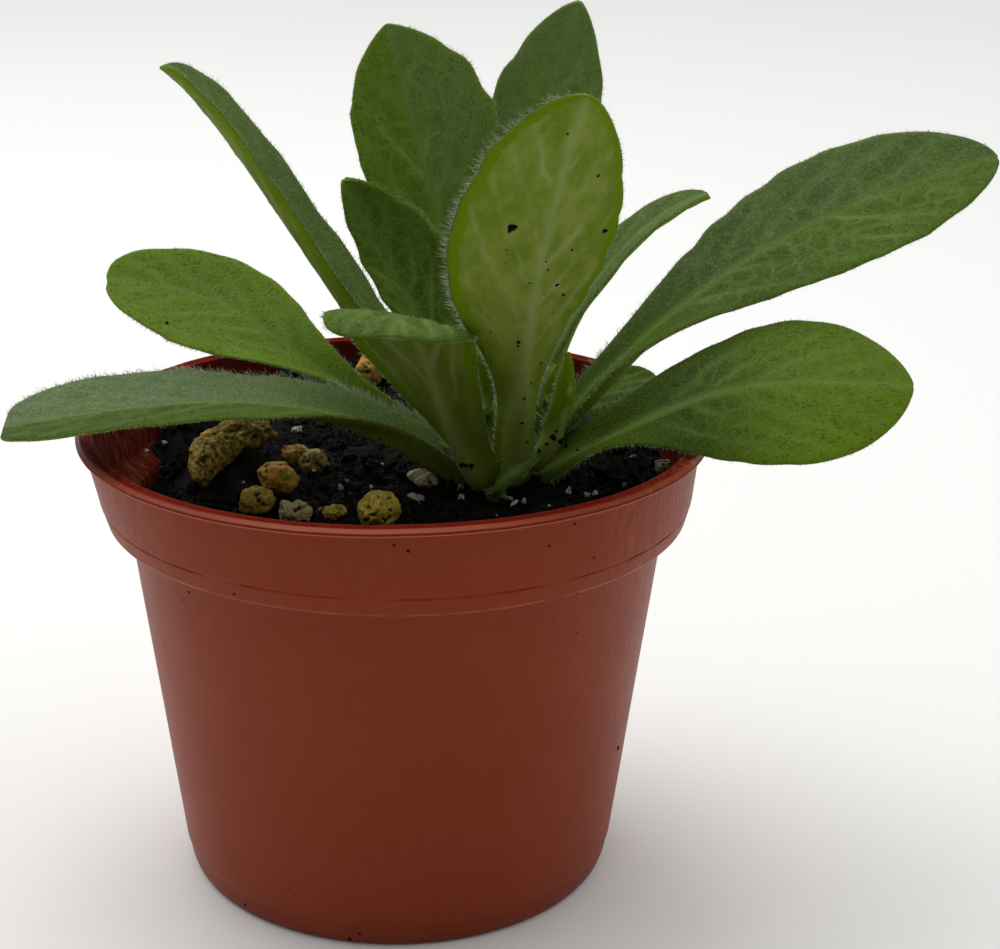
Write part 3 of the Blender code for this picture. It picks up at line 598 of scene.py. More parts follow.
def add(tree, kind, inputs=None, **settings):
    """Adds a node with these settings, and fills or links its inputs.

    A node that is given as an input stands for its first output in use.
    """
    made = tree.nodes.new("ShaderNode" + kind)
    for name, value in settings.items():
        setattr(made, name, value)
    for socket, value in (inputs or {}).items():
        if isinstance(value, bpy.types.Node):
            value = next(output for output in value.outputs if output.enabled)
        if isinstance(value, bpy.types.NodeSocket):
            tree.links.new(value, made.inputs[socket])
        else:
            made.inputs[socket].default_value = value
    return made


def blank(name):
    """A new material and its empty tree."""
    material = bpy.data.materials.new(name)
    material.use_nodes = True
    material.node_tree.nodes.clear()
    return material, material.node_tree


def rgb(color):
    return (*color[:3], 1.0)


def moulded_polypropylene(look):
    """Injection-moulded polypropylene, pigmented terracotta: satin, with flow ripples and handling dirt.

    The ripples are short wavy marks about 1.3 mm apart. They are strong on the right, where the melt met,
    and faint elsewhere. The attribute "side" tells the inner wall, which is darker with painted shade and
    duller, then edges lightened with a painted highlight, and creases and the back of the rim darkened
    with painted shade. The dust streaks grow towards the left and right sides, where they also paint the
    sheen of those sides.
    """
    material, tree = blank("moulded_polypropylene")
    spot = add(tree, "TexCoord").outputs["Object"]
    x, _, z = add(tree, "SeparateXYZ", {"Vector": spot}).outputs
    side = add(tree, "Attribute", attribute_name="side").outputs["Vector"]
    inner_shade, painted_highlight, painted_shade = add(tree, "SeparateXYZ", {"Vector": side}).outputs
    cloud = add(tree, "TexNoise", {"Vector": spot, "Scale": 1 / 0.03, "Detail": 4.0, "Roughness": 0.6})
    grain = add(tree, "TexNoise", {"Vector": spot, "Scale": 1 / 0.0004, "Detail": 2.0})
    stretched = add(tree, "Mapping", {"Vector": spot, "Scale": (1.0, 1.0, 0.5)})
    ripple = add(tree, "TexNoise", {"Vector": stretched, "Scale": 1 / 0.0013, "Detail": 1.5,
                                    "Distortion": 1.3})
    wide = add(tree, "TexNoise", {"Vector": stretched, "Scale": 1 / 0.012, "Detail": 2.0})
    right = add(tree, "MapRange", {"Value": x, "From Min": 0.012, "From Max": 0.034, "To Min": 0.10},
                interpolation_type="SMOOTHSTEP")
    upper = add(tree, "MapRange", {"Value": z, "From Min": 0.045, "From Max": 0.060, "To Min": 0.45})
    strong = add(tree, "Math", {0: right, 1: upper}, operation="MULTIPLY")
    drawn = add(tree, "Mapping", {"Vector": spot, "Scale": (1.0, 1.0, 0.3)})
    dust = add(tree, "TexNoise", {"Vector": drawn, "Scale": 1 / 0.0012, "Detail": 4.0, "Roughness": 0.75})
    streak = add(tree, "MapRange", {"Value": dust, "From Min": 0.46, "From Max": 0.75})
    # The streaks grow towards the pot's left and right sides: dust, and a painted sheen there as well.
    aside = add(tree, "Math", {0: x}, operation="ABSOLUTE")
    sideways = add(tree, "MapRange", {"Value": aside, "From Min": 0.026, "From Max": 0.044, "To Min": 0.05,
                                      "To Max": 0.5}, interpolation_type="SMOOTHSTEP")
    dust_and_sheen = add(tree, "Math", {0: streak, 1: sideways}, operation="MULTIPLY")
    spots = add(tree, "TexVoronoi", {"Vector": spot, "Scale": 1 / 0.007})
    dot = add(tree, "MapRange", {"Value": spots, "From Min": 0.03, "From Max": 0.05, "To Min": 1.0,
                                 "To Max": 0.0})
    chance = add(tree, "SeparateColor", {"Color": spots.outputs["Color"]})
    chosen = add(tree, "Math", {0: chance, 1: 0.9}, operation="GREATER_THAN")
    specks = add(tree, "Math", {0: dot, 1: chosen}, operation="MULTIPLY")
    low = add(tree, "MapRange", {"Value": z, "From Max": 0.006, "To Min": 0.5, "To Max": 0.0})
    darkening = add(tree, "Math", {0: low, 1: cloud}, operation="MULTIPLY")

    color = add(tree, "Mix", {0: cloud, 6: rgb(look.color), 7: rgb(look.deep_color)}, data_type="RGBA")
    # Over the pigment: painted shade on the inner wall, a painted highlight on edges, painted shade in
    # creases and at the back of the rim, dust with painted sheen on the sides, dirt specks, and dirt darker
    # towards the base.
    for share, over in ((painted_highlight, look.painted_highlight_color), (painted_shade, look.painted_shade_color), (inner_shade, look.inner_shade_color),
                        (dust_and_sheen, look.dust_and_sheen_color), (specks, look.dirt_color), (darkening, look.dirt_color)):
        color = add(tree, "Mix", {0: share, 6: color, 7: rgb(over)}, data_type="RGBA")

    dull = add(tree, "Math", {0: inner_shade, 1: painted_shade}, operation="MAXIMUM")
    shine = add(tree, "MapRange", {"Value": dull, "To Min": look.gloss, "To Max": look.gloss * 0.25})
    uneven = add(tree, "MapRange", {"Value": cloud, "From Min": 0.3, "From Max": 0.7,
                                    "To Min": look.roughness - 0.04, "To Max": look.roughness + 0.05})
    rough = add(tree, "Math", {0: dull, 1: 0.4, 2: uneven}, operation="MULTIPLY_ADD")
    fine = add(tree, "Bump", {"Height": grain, "Distance": 0.00002, "Strength": 0.4})
    rippled = add(tree, "Bump", {"Height": ripple, "Distance": look.ripple_depth, "Strength": strong,
                                 "Normal": fine})
    waved = add(tree, "Bump", {"Height": wide, "Distance": 0.0002, "Strength": 0.5, "Normal": rippled})
    skin = add(tree, "BsdfPrincipled", {"Base Color": color, "Roughness": rough, "Normal": waved,
                                        "IOR": 1.49, "Specular IOR Level": shine})
    add(tree, "OutputMaterial", {"Surface": skin})
    return material


def peat(look):
    """Sphagnum peat, damp: nearly black crumb with browner fibres, matt.

    The attribute "tint" says how brown and how straw-coloured a crumb or fibre is.
    """
    material, tree = blank("damp_peat")
    spot = add(tree, "TexCoord").outputs["Object"]
    tint = add(tree, "Attribute", attribute_name="tint").outputs["Vector"]
    brown, straw, _ = add(tree, "SeparateXYZ", {"Vector": tint}).outputs
    crumb = add(tree, "TexNoise", {"Vector": spot, "Scale": 1 / 0.0008, "Detail": 5.0, "Roughness": 0.7})
    fleck = add(tree, "MapRange", {"Value": crumb, "From Min": 0.62, "From Max": 0.78})
    browned = add(tree, "Math", {0: fleck, 1: brown}, operation="MAXIMUM")
    base = add(tree, "Mix", {0: browned, 6: rgb(look.peat_color), 7: rgb(look.fibre_color)},
               data_type="RGBA")
    color = add(tree, "Mix", {0: straw, 6: base, 7: rgb(look.straw_color)}, data_type="RGBA")
    bump = add(tree, "Bump", {"Height": crumb, "Distance": 0.0004, "Strength": 0.9})
    skin = add(tree, "BsdfPrincipled", {"Base Color": color, "Roughness": 0.85, "Normal": bump,
                                        "Specular IOR Level": 0.12})
    add(tree, "OutputMaterial", {"Surface": skin})
    return material


def perlite(look):
    """Expanded perlite: chalk-white volcanic glass foam, matt, with soil in its pores."""
    material, tree = blank("expanded_perlite")
    spot = add(tree, "TexCoord").outputs["Object"]
    pores = add(tree, "TexNoise", {"Vector": spot, "Scale": 1 / 0.0006, "Detail": 3.0, "Roughness": 0.7})
    soiled = add(tree, "MapRange", {"Value": pores, "From Min": 0.42, "From Max": 0.66})
    color = add(tree, "Mix", {0: soiled, 6: rgb(look.perlite_color), 7: rgb(look.perlite_soiled_color)},
                data_type="RGBA")
    bump = add(tree, "Bump", {"Height": pores, "Distance": 0.0002, "Strength": 0.8})
    skin = add(tree, "BsdfPrincipled", {"Base Color": color, "Roughness": 0.9, "Normal": bump,
                                        "Specular IOR Level": 0.3})
    add(tree, "OutputMaterial", {"Surface": skin})
    return material


def fired_clay(look):
    """Granules of fired clay: ochre skin, rusty patches and dark open pores 0.3 to 0.7 mm wide.

    The attribute "tint" says how orange a granule is, and below zero how bleached, then how far into
    cracks a point lies, raised where painted shade from the leaves lies on it, and how far into a pit it
    lies.
    """
    material, tree = blank("fired_clay")
    spot = add(tree, "TexCoord").outputs["Object"]
    tint = add(tree, "Attribute", attribute_name="tint").outputs["Vector"]
    orange, crack_and_shade, pit = add(tree, "SeparateXYZ", {"Vector": tint}).outputs
    patch = add(tree, "TexNoise", {"Vector": spot, "Scale": 1 / 0.0026, "Detail": 4.0, "Roughness": 0.65})
    mottle = add(tree, "TexNoise", {"Vector": spot, "Scale": 1 / 0.0008, "Detail": 3.0, "Roughness": 0.6})
    cells = add(tree, "TexVoronoi", {"Vector": spot, "Scale": 1 / 0.0013})
    pore = add(tree, "MapRange", {"Value": cells, "From Min": 0.12, "From Max": 0.26, "To Min": 1.0,
                                  "To Max": 0.0})
    chance = add(tree, "SeparateColor", {"Color": cells.outputs["Color"]})
    chosen = add(tree, "Math", {0: chance, 1: 0.88}, operation="GREATER_THAN")
    pores = add(tree, "Math", {0: pore, 1: chosen}, operation="MULTIPLY")
    hollow = add(tree, "Math", {0: crack_and_shade, 1: pit}, operation="MAXIMUM")
    ragged = add(tree, "Math", {0: hollow, 1: mottle}, operation="MULTIPLY")
    hollows = add(tree, "MapRange", {"Value": ragged, "From Min": 0.25, "From Max": 0.55})
    dark = add(tree, "Math", {0: pores, 1: hollows}, operation="MAXIMUM")
    rusty = add(tree, "MapRange", {"Value": patch, "From Min": 0.42, "From Max": 0.62})
    rust = add(tree, "Math", {0: rusty, 1: orange}, operation="MULTIPLY", use_clamp=True)
    pale = add(tree, "Math", {0: orange, 1: -1.0}, operation="MULTIPLY", use_clamp=True)
    mossy = add(tree, "MapRange", {"Value": mottle, "From Min": 0.38, "From Max": 0.62})

    color = add(tree, "Mix", {0: mossy, 6: rgb(look.ochre_color), 7: rgb(look.shade_color)},
                data_type="RGBA")
    for share, over in ((rust, look.orange_color), (pale, look.bleached_color), (dark, look.pore_and_shade_color)):
        color = add(tree, "Mix", {0: share, 6: color, 7: rgb(over)}, data_type="RGBA")
    height = add(tree, "Math", {0: mottle, 1: pores}, operation="SUBTRACT")
    bump = add(tree, "Bump", {"Height": height, "Distance": 0.0004, "Strength": 0.8})
    skin = add(tree, "BsdfPrincipled", {"Base Color": color, "Roughness": 0.78, "Normal": bump,
                                        "Specular IOR Level": 0.35})
    add(tree, "OutputMaterial", {"Surface": skin})
    return material


def leaf_flesh(look, name):
    """A living, softly hairy leaf: a dull waxy skin over green flesh that lets some light through.

    Attributes: "place" is millimetres along, across and in from the margin; "form" is the side-vein
    count, the face (1 upper, 0 under) and ripeness; "shade" is stalk, greyness and blade; "tone" is
    midrib, depth of green with painted shade and painted light in it, and how clear the side veins are.
    The side veins are soft and about 1.5 mm wide, and the net between them is drawn coarser than in life,
    with meshes of 3.6 and 0.8 mm. Light specks on the upper face are a painted highlight of short hairs
    catching the light, and the lighter strip inside the under face's margin is painted light shining
    through the thin margin.
    """
    material, tree = blank(name)
    place, form, shade, tone = [add(tree, "Attribute", attribute_name=told).outputs["Vector"]
                                for told in ("place", "form", "shade", "tone")]
    from_margin = add(tree, "SeparateXYZ", {"Vector": place}).outputs[2]
    phase, upper, ripe = add(tree, "SeparateXYZ", {"Vector": form}).outputs
    stalk, grey, blade = add(tree, "SeparateXYZ", {"Vector": shade}).outputs
    rib, depth_and_shading, clear = add(tree, "SeparateXYZ", {"Vector": tone}).outputs
    soft = {"interpolation_type": "SMOOTHSTEP"}

    # Clouds of colour, and the fine unevenness of the skin
    cloud = add(tree, "TexNoise", {"Vector": place, "Scale": 1 / 5.0, "Detail": 3.0, "Roughness": 0.6})
    clouds = add(tree, "MapRange", {"Value": cloud, "From Min": 0.35, "From Max": 0.65}, **soft)
    drift = add(tree, "TexNoise", {"Vector": place, "Scale": 1 / 9.0, "Detail": 2.0})
    patchy = add(tree, "MapRange", {"Value": drift, "From Min": 0.36, "From Max": 0.60, "To Min": 0.3},
                 **soft)
    wander = add(tree, "TexNoise", {"Vector": place, "Scale": 1 / 3.2, "Detail": 3.0, "Roughness": 0.6})
    skin = add(tree, "TexNoise", {"Vector": place, "Scale": 1 / 0.4, "Detail": 3.0, "Roughness": 0.6})

    # Side veins: their count strays a little, and a vein lies where it comes to a whole number
    off = add(tree, "Math", {0: wander, 1: 0.5}, operation="SUBTRACT")
    off = add(tree, "Math", {0: off, 1: 0.45}, operation="MULTIPLY")
    drifted = add(tree, "Math", {0: drift, 1: 0.5}, operation="SUBTRACT")
    drifted = add(tree, "Math", {0: drifted, 1: 0.9}, operation="MULTIPLY")
    strayed = add(tree, "Math", {0: off, 1: drifted}, operation="ADD")
    strayed = add(tree, "Math", {0: phase, 1: strayed}, operation="ADD")
    near = add(tree, "Math", {0: strayed, 1: 0.5}, operation="PINGPONG")
    side_vein = add(tree, "MapRange", {"Value": near, "From Max": 0.24, "To Min": 1.0, "To Max": 0.0}, **soft)
    patchy = add(tree, "Math", {0: blade, 1: patchy}, operation="MULTIPLY")
    side_vein = add(tree, "Math", {0: side_vein, 1: patchy}, operation="MULTIPLY")
    side_vein = add(tree, "Math", {0: side_vein, 1: clear}, operation="MULTIPLY")

    # The net between them, bent a little, and the pits of the skin
    bent = add(tree, "TexNoise", {"Vector": place, "Scale": 1 / 2.0, "Detail": 2.0}).outputs["Color"]
    shift = add(tree, "VectorMath", {0: bent, 1: (1.6, 1.6, 0.0)}, operation="MULTIPLY")
    moved = add(tree, "VectorMath", {0: place, 1: shift}, operation="ADD")
    flat = add(tree, "VectorMath", {0: moved, 1: (1.0, 1.0, 0.0)}, operation="MULTIPLY")
    on_blade = add(tree, "Math", {0: blade, 1: clear}, operation="MULTIPLY")
    net = add(tree, "TexVoronoi", {"Vector": flat, "Scale": 1 / 3.6}, feature="DISTANCE_TO_EDGE")
    net = add(tree, "MapRange", {"Value": net, "From Max": 0.16, "To Min": 0.6, "To Max": 0.0}, **soft)
    net = add(tree, "Math", {0: net, 1: on_blade}, operation="MULTIPLY")
    small = add(tree, "TexVoronoi", {"Vector": flat, "Scale": 1 / 0.8}, feature="DISTANCE_TO_EDGE")
    small = add(tree, "MapRange", {"Value": small, "From Max": 0.18, "To Min": 0.14, "To Max": 0.0}, **soft)
    net = add(tree, "Math", {0: net, 1: small}, operation="MAXIMUM")
    shown = add(tree, "Math", {0: upper, 1: 0.3}, operation="ADD", use_clamp=True)
    net = add(tree, "Math", {0: net, 1: shown}, operation="MULTIPLY")
    large = add(tree, "Math", {0: side_vein, 1: rib}, operation="MAXIMUM")
    veins = add(tree, "Math", {0: large, 1: net}, operation="MAXIMUM")
    between = add(tree, "MapRange", {"Value": near, "From Min": 0.15, "From Max": 0.45, "To Max": 0.3},
                  **soft)
    between = add(tree, "Math", {0: between, 1: on_blade}, operation="MULTIPLY")
    pits = add(tree, "TexVoronoi", {"Vector": flat, "Scale": 1 / 0.6})
    pits = add(tree, "MapRange", {"Value": pits, "From Max": 0.5, "To Min": 1.0, "To Max": 0.0}, **soft)
    pitting = add(tree, "MapRange", {"Value": cloud, "From Min": 0.35, "From Max": 0.6, "To Min": 0.25,
                                     "To Max": 0.85}, **soft)
    pitted = add(tree, "Math", {0: pits, 1: pitting}, operation="MULTIPLY")

    # The upper face, one colour over the other
    # Painted shade darkens the upper face by the depth of green, and painted light makes it paler below zero.
    darker = add(tree, "Math", {0: depth_and_shading, 1: between}, operation="ADD")
    off_stalk = add(tree, "Math", {0: 1.0, 1: stalk}, operation="SUBTRACT")
    dots = add(tree, "Math", {0: pitted, 1: off_stalk}, operation="MULTIPLY")
    greying = add(tree, "MapRange", {"Value": clouds, "To Min": 0.65}, **soft)
    greyed = add(tree, "Math", {0: grey, 1: greying}, operation="MULTIPLY")
    # Specks of painted highlight where short hairs catch the light, more on greyer skin.
    down = add(tree, "MapRange", {"Value": skin, "From Min": 0.5, "From Max": 0.66, "To Max": 0.6}, **soft)
    glint_amount = add(tree, "Math", {0: grey, 1: 0.3}, operation="ADD")
    down = add(tree, "Math", {0: down, 1: glint_amount}, operation="MULTIPLY")
    veined = add(tree, "Math", {0: veins, 1: 0.7}, operation="MULTIPLY")
    stalked = add(tree, "Math", {0: stalk, 1: 0.5}, operation="MULTIPLY")
    face = add(tree, "Mix", {0: clouds, 6: rgb(look.mid_green), 7: rgb(look.fresh_green)}, data_type="RGBA")
    for share, over, held in ((ripe, look.ripe_green, True), (darker, look.deep_green, False),
                              (dots, look.deep_green, True), (greyed, look.grey_green, True),
                              (down, look.hair_glint_green, True), (veined, look.vein_green, True),
                              (stalked, look.stalk_green, True)):
        face = add(tree, "Mix", {0: share, 6: face, 7: rgb(over)}, data_type="RGBA", clamp_factor=held)

    # The under face, with a lighter strip along its margin: painted light that shines through the thin margin
    back_veined = add(tree, "Math", {0: veins, 1: 0.8}, operation="MULTIPLY")
    waved = add(tree, "Math", {0: wander, 1: 2.8}, operation="MULTIPLY")
    edge = add(tree, "Math", {0: from_margin, 1: waved}, operation="SUBTRACT")
    band = add(tree, "MapRange", {"Value": edge, "From Min": -0.1, "From Max": 0.4, "To Min": 1.0,
                                  "To Max": 0.0}, **soft)
    far = add(tree, "Math", {0: stalk, 1: 2.2}, operation="MULTIPLY")
    far = add(tree, "Math", {0: 1.0, 1: far}, operation="SUBTRACT", use_clamp=True)
    band = add(tree, "Math", {0: band, 1: far}, operation="MULTIPLY")
    back_stalked = add(tree, "Math", {0: stalk, 1: 0.6}, operation="MULTIPLY")
    back = add(tree, "Mix", {0: clouds, 6: rgb(look.under_green), 7: rgb(look.under_deep)},
               data_type="RGBA")
    # The same depth of green brings in the shaded lower skin as painted shade, or paints light below zero.
    for share, over, held in ((depth_and_shading, look.under_dark, False), (back_veined, look.under_vein, True),
                              (band, look.margin_glow_green, True), (back_stalked, look.stalk_under, True)):
        back = add(tree, "Mix", {0: share, 6: back, 7: rgb(over)}, data_type="RGBA", clamp_factor=held)
    color = add(tree, "Mix", {0: upper, 6: back, 7: face}, data_type="RGBA")

    # Veins are sunk in the upper face and stand out under it
    sunk = add(tree, "MapRange", {"Value": upper, "To Min": 0.8, "To Max": -0.8})
    raised = add(tree, "Math", {0: veins, 1: sunk}, operation="MULTIPLY")
    holes = add(tree, "Math", {0: pitted, 1: upper}, operation="MULTIPLY")
    relief = add(tree, "Math", {0: raised, 1: holes}, operation="SUBTRACT")
    fine = add(tree, "Bump", {"Height": skin, "Distance": 0.00012, "Strength": 0.8})
    bump = add(tree, "Bump", {"Height": relief, "Distance": 0.00016, "Strength": 0.7, "Normal": fine})
    rough = add(tree, "MapRange", {"Value": skin, "To Min": 0.5, "To Max": 0.7})
    outer = add(tree, "BsdfPrincipled", {"Base Color": color, "Roughness": rough, "Normal": bump,
                                         "Specular IOR Level": look.gloss})
    glow = add(tree, "Mix", {0: 0.5, 6: color, 7: rgb(look.glow_green)}, data_type="RGBA")
    through = add(tree, "BsdfTranslucent", {"Color": glow, "Normal": bump})
    both = add(tree, "MixShader", {0: look.see_through, 1: outer, 2: through})
    add(tree, "OutputMaterial", {"Surface": both})
    return material


def leaf_hair(look):
    """Plant hair: clear, colourless cells that look silver-white, drawn twice as thick as life to show."""
    material, tree = blank("leaf_hair")
    spot = add(tree, "TexCoord").outputs["Object"]
    vary = add(tree, "TexNoise", {"Vector": spot, "Scale": 1 / 0.004, "Detail": 2.0})
    color = add(tree, "Mix", {0: vary, 6: rgb(look.hair_color), 7: rgb(look.hair_shade)}, data_type="RGBA")
    skin = add(tree, "BsdfPrincipled", {"Base Color": color, "Roughness": 0.45, "Specular IOR Level": 0.5})
    through = add(tree, "BsdfTranslucent", {"Color": color})
    both = add(tree, "MixShader", {0: 0.45, 1: skin, 2: through})
    add(tree, "OutputMaterial", {"Surface": both})
    return material


def painted_board(look):
    """Smooth board with matt white emulsion, for the floor."""
    material, tree = blank("painted_board")
    spot = add(tree, "TexCoord").outputs["Object"]
    stipple = add(tree, "TexNoise", {"Vector": spot, "Scale": 1 / 0.002, "Detail": 2.0})
    cloud = add(tree, "TexNoise", {"Vector": spot, "Scale": 1 / 0.4, "Detail": 1.0})
    color = add(tree, "Mix", {0: cloud, 6: rgb(look.floor_color), 7: rgb(look.floor_shade)},
                data_type="RGBA")
    bump = add(tree, "Bump", {"Height": stipple, "Distance": 0.00005, "Strength": 0.2})
    skin = add(tree, "BsdfPrincipled", {"Base Color": color, "Roughness": 0.8, "Normal": bump,
                                        "Specular IOR Level": 0.2})
    add(tree, "OutputMaterial", {"Surface": skin})
    return material


# Settings


def color_property(name, description, code):
    return FloatVectorProperty(name=name, description=description, default=linear(code), size=3,
                               subtype="COLOR", min=0.0, max=1.0)


def length_property(name, description, default):
    return FloatProperty(name=name, description=description, default=default, min=0.0, unit="LENGTH")


def share_property(name, description, default):
    return FloatProperty(name=name, description=description, default=default, min=0.0, max=1.0,
                         subtype="FACTOR")


def strength_property(name, description, default, **more):
    return FloatProperty(name=name, description=description, default=default, min=0.0, **more)


class PotSettings(bpy.types.PropertyGroup):
    steps: IntProperty(name="Steps", description="Faces around the pot", default=176, min=24)
    roughness: share_property("Roughness", "Roughness of the moulded wall", 0.46)
    gloss: share_property("Gloss", "Strength of the wall's own reflection", 0.16)
    ripple_depth: length_property("Ripple depth", "Depth of the flow ripples on the wall", 0.00013)
    color: color_property("Wall", "Terracotta pigment of the wall", "#84320F")
    deep_color: color_property("Wall, darker", "Darker clouds in the wall's pigment", "#7A2C0C")
    # The inner wall's colour is painted shade, darker where less light reaches into the pot.
    inner_shade_color: color_property("Inner wall", "Damp inner side of the wall", "#521408")
    # The worn-edge colour is a painted highlight on the rim's and the collar's edges.
    painted_highlight_color: color_property("Worn edge", "Rubbed edges of the rim and the collar", "#BE7358")
    # The crease colour is painted shade in the rim's groove, on the bead, along the collar's line and at the
    # back of the rim.
    painted_shade_color: color_property("Crease", "Damp creases of the rim and the collar", "#671606")
    # The dust colour is partly dust streaks and partly painted sheen, stronger towards the pot's left and
    # right sides.
    dust_and_sheen_color: color_property("Dust", "Dried water marks and dust", "#A8674C")
    dirt_color: color_property("Dirt", "Dried soil on the wall", "#2A1710")


class SoilSettings(bpy.types.PropertyGroup):
    crumbs: IntProperty(name="Crumbs", description="Small crumbs on the surface", default=6400, min=0)
    clods: IntProperty(name="Clods", description="Larger clods on the surface", default=240, min=0)
    fibres: IntProperty(name="Fibres", description="Fibres lying on the surface", default=1500, min=0)
    peat_color: color_property("Peat", "Damp crumb", "#090706")
    fibre_color: color_property("Fibre", "Browner fibre and drier crumb", "#261D15")
    straw_color: color_property("Straw", "Bleached straw", "#6E6848")
    perlite_color: color_property("Perlite", "Clean perlite", "#B4B4AA")
    perlite_soiled_color: color_property("Perlite, soiled", "Perlite with soil in its pores", "#85837A")


class GranuleSettings(bpy.types.PropertyGroup):
    pit_depth: length_property("Pit depth", "Depth of the pits in a granule", 0.0012)
    ochre_color: color_property("Ochre", "Skin of a granule", "#BCA03C")
    shade_color: color_property("Moss", "Greener patches", "#8C8228")
    orange_color: color_property("Rust", "Rusty patches", "#CC8433")
    bleached_color: color_property("Bleached", "Pale chips", "#B9B090")
    # The pore colour also paints the shade that the leaves cast on the granules below them.
    pore_and_shade_color: color_property("Pores", "Open pores and grime", "#1C1608")


class LeafSettings(bpy.types.PropertyGroup):
    blade_thickness: length_property("Blade", "Thickness of a blade", 0.0009)
    wing_thickness: length_property("Wings", "Thickness of the wings along a stalk", 0.0012)
    rib_depth: length_property("Rib", "How far the midrib stands out under the stalk", 0.0017)
    vein_relief: strength_property("Vein relief", "How strongly the blade puckers", 1.0)
    see_through: share_property("See-through", "Share of light that passes the blade", 0.25)
    gloss: share_property("Gloss", "Strength of the skin's own reflection", 0.06)
    deep_green: color_property("Deep green", "Darkest upper skin", "#2E4405")
    mid_green: color_property("Mid green", "Upper skin", "#465E10")
    fresh_green: color_property("Fresh green", "Lighter clouds of the upper skin", "#50701F")
    ripe_green: color_property("Ripe green", "Yellower upper skin", "#6C8A0C")
    grey_green: color_property("Grey green", "Upper skin under dense hair", "#667A54")
    # A painted highlight of short hairs catching the light.
    hair_glint_green: color_property("Down", "Specks where short hairs catch the light", "#8C9F74")
    vein_green: color_property("Veins", "Veins of the upper face", "#87A354")
    stalk_green: color_property("Stalk", "Upper side of a stalk", "#628006")
    under_green: color_property("Underside", "Lower skin", "#8A9B40")
    under_deep: color_property("Underside, deeper", "Darker clouds of the lower skin", "#728621")
    under_dark: color_property("Underside, dark", "Shaded lower skin", "#44560A")
    under_vein: color_property("Underside veins", "Veins of the lower face", "#A3B070")
    # A painted glow of light shining through the thin margin.
    margin_glow_green: color_property("Margin", "Clear green band inside the margin", "#6E8A0A")
    stalk_under: color_property("Stalk, under", "Lower side of a stalk", "#6F8408")
    glow_green: color_property("Glow", "Light that passes the blade", "#98AC14")


class HairSettings(bpy.types.PropertyGroup):
    edge_length: length_property("Edge hair", "Length of a hair on a margin", 0.0011)
    face_length: length_property("Face hair", "Length of a hair on a face", 0.0006)
    edge_width: length_property("Edge hair width", "Thickness at the root", 0.00007)
    face_width: length_property("Face hair width", "Thickness at the root", 0.00005)
    per_edge: strength_property("Edge density", "Hairs per millimetre of margin", 9.0)
    per_face: strength_property("Face density", "Hairs per square millimetre of face", 2.4)
    hair_color: color_property("Hair", "Silver-white hair", "#E4E6D8")
    hair_shade: color_property("Hair, greener", "Hair that takes the leaf's colour", "#98A878")


class StageSettings(bpy.types.PropertyGroup):
    floor_color: color_property("Floor", "Emulsion of the floor", "#F4F4F2")
    floor_shade: color_property("Floor, cloud", "Slight unevenness of the emulsion", "#EFEFED")
    sky: strength_property("Room light", "Strength of the light from all around", 1.0)
    front: share_property("Front light", "Share of the room light from the camera's side", 0.2)
    key: strength_property("Key light", "Power of the large light above", 3.0, unit="POWER")


class PrimulinaSettings(bpy.types.PropertyGroup):
    pot: PointerProperty(type=PotSettings)
    soil: PointerProperty(type=SoilSettings)
    granule: PointerProperty(type=GranuleSettings)
    leaf: PointerProperty(type=LeafSettings)
    hair: PointerProperty(type=HairSettings)
    stage: PointerProperty(type=StageSettings)


# Operators


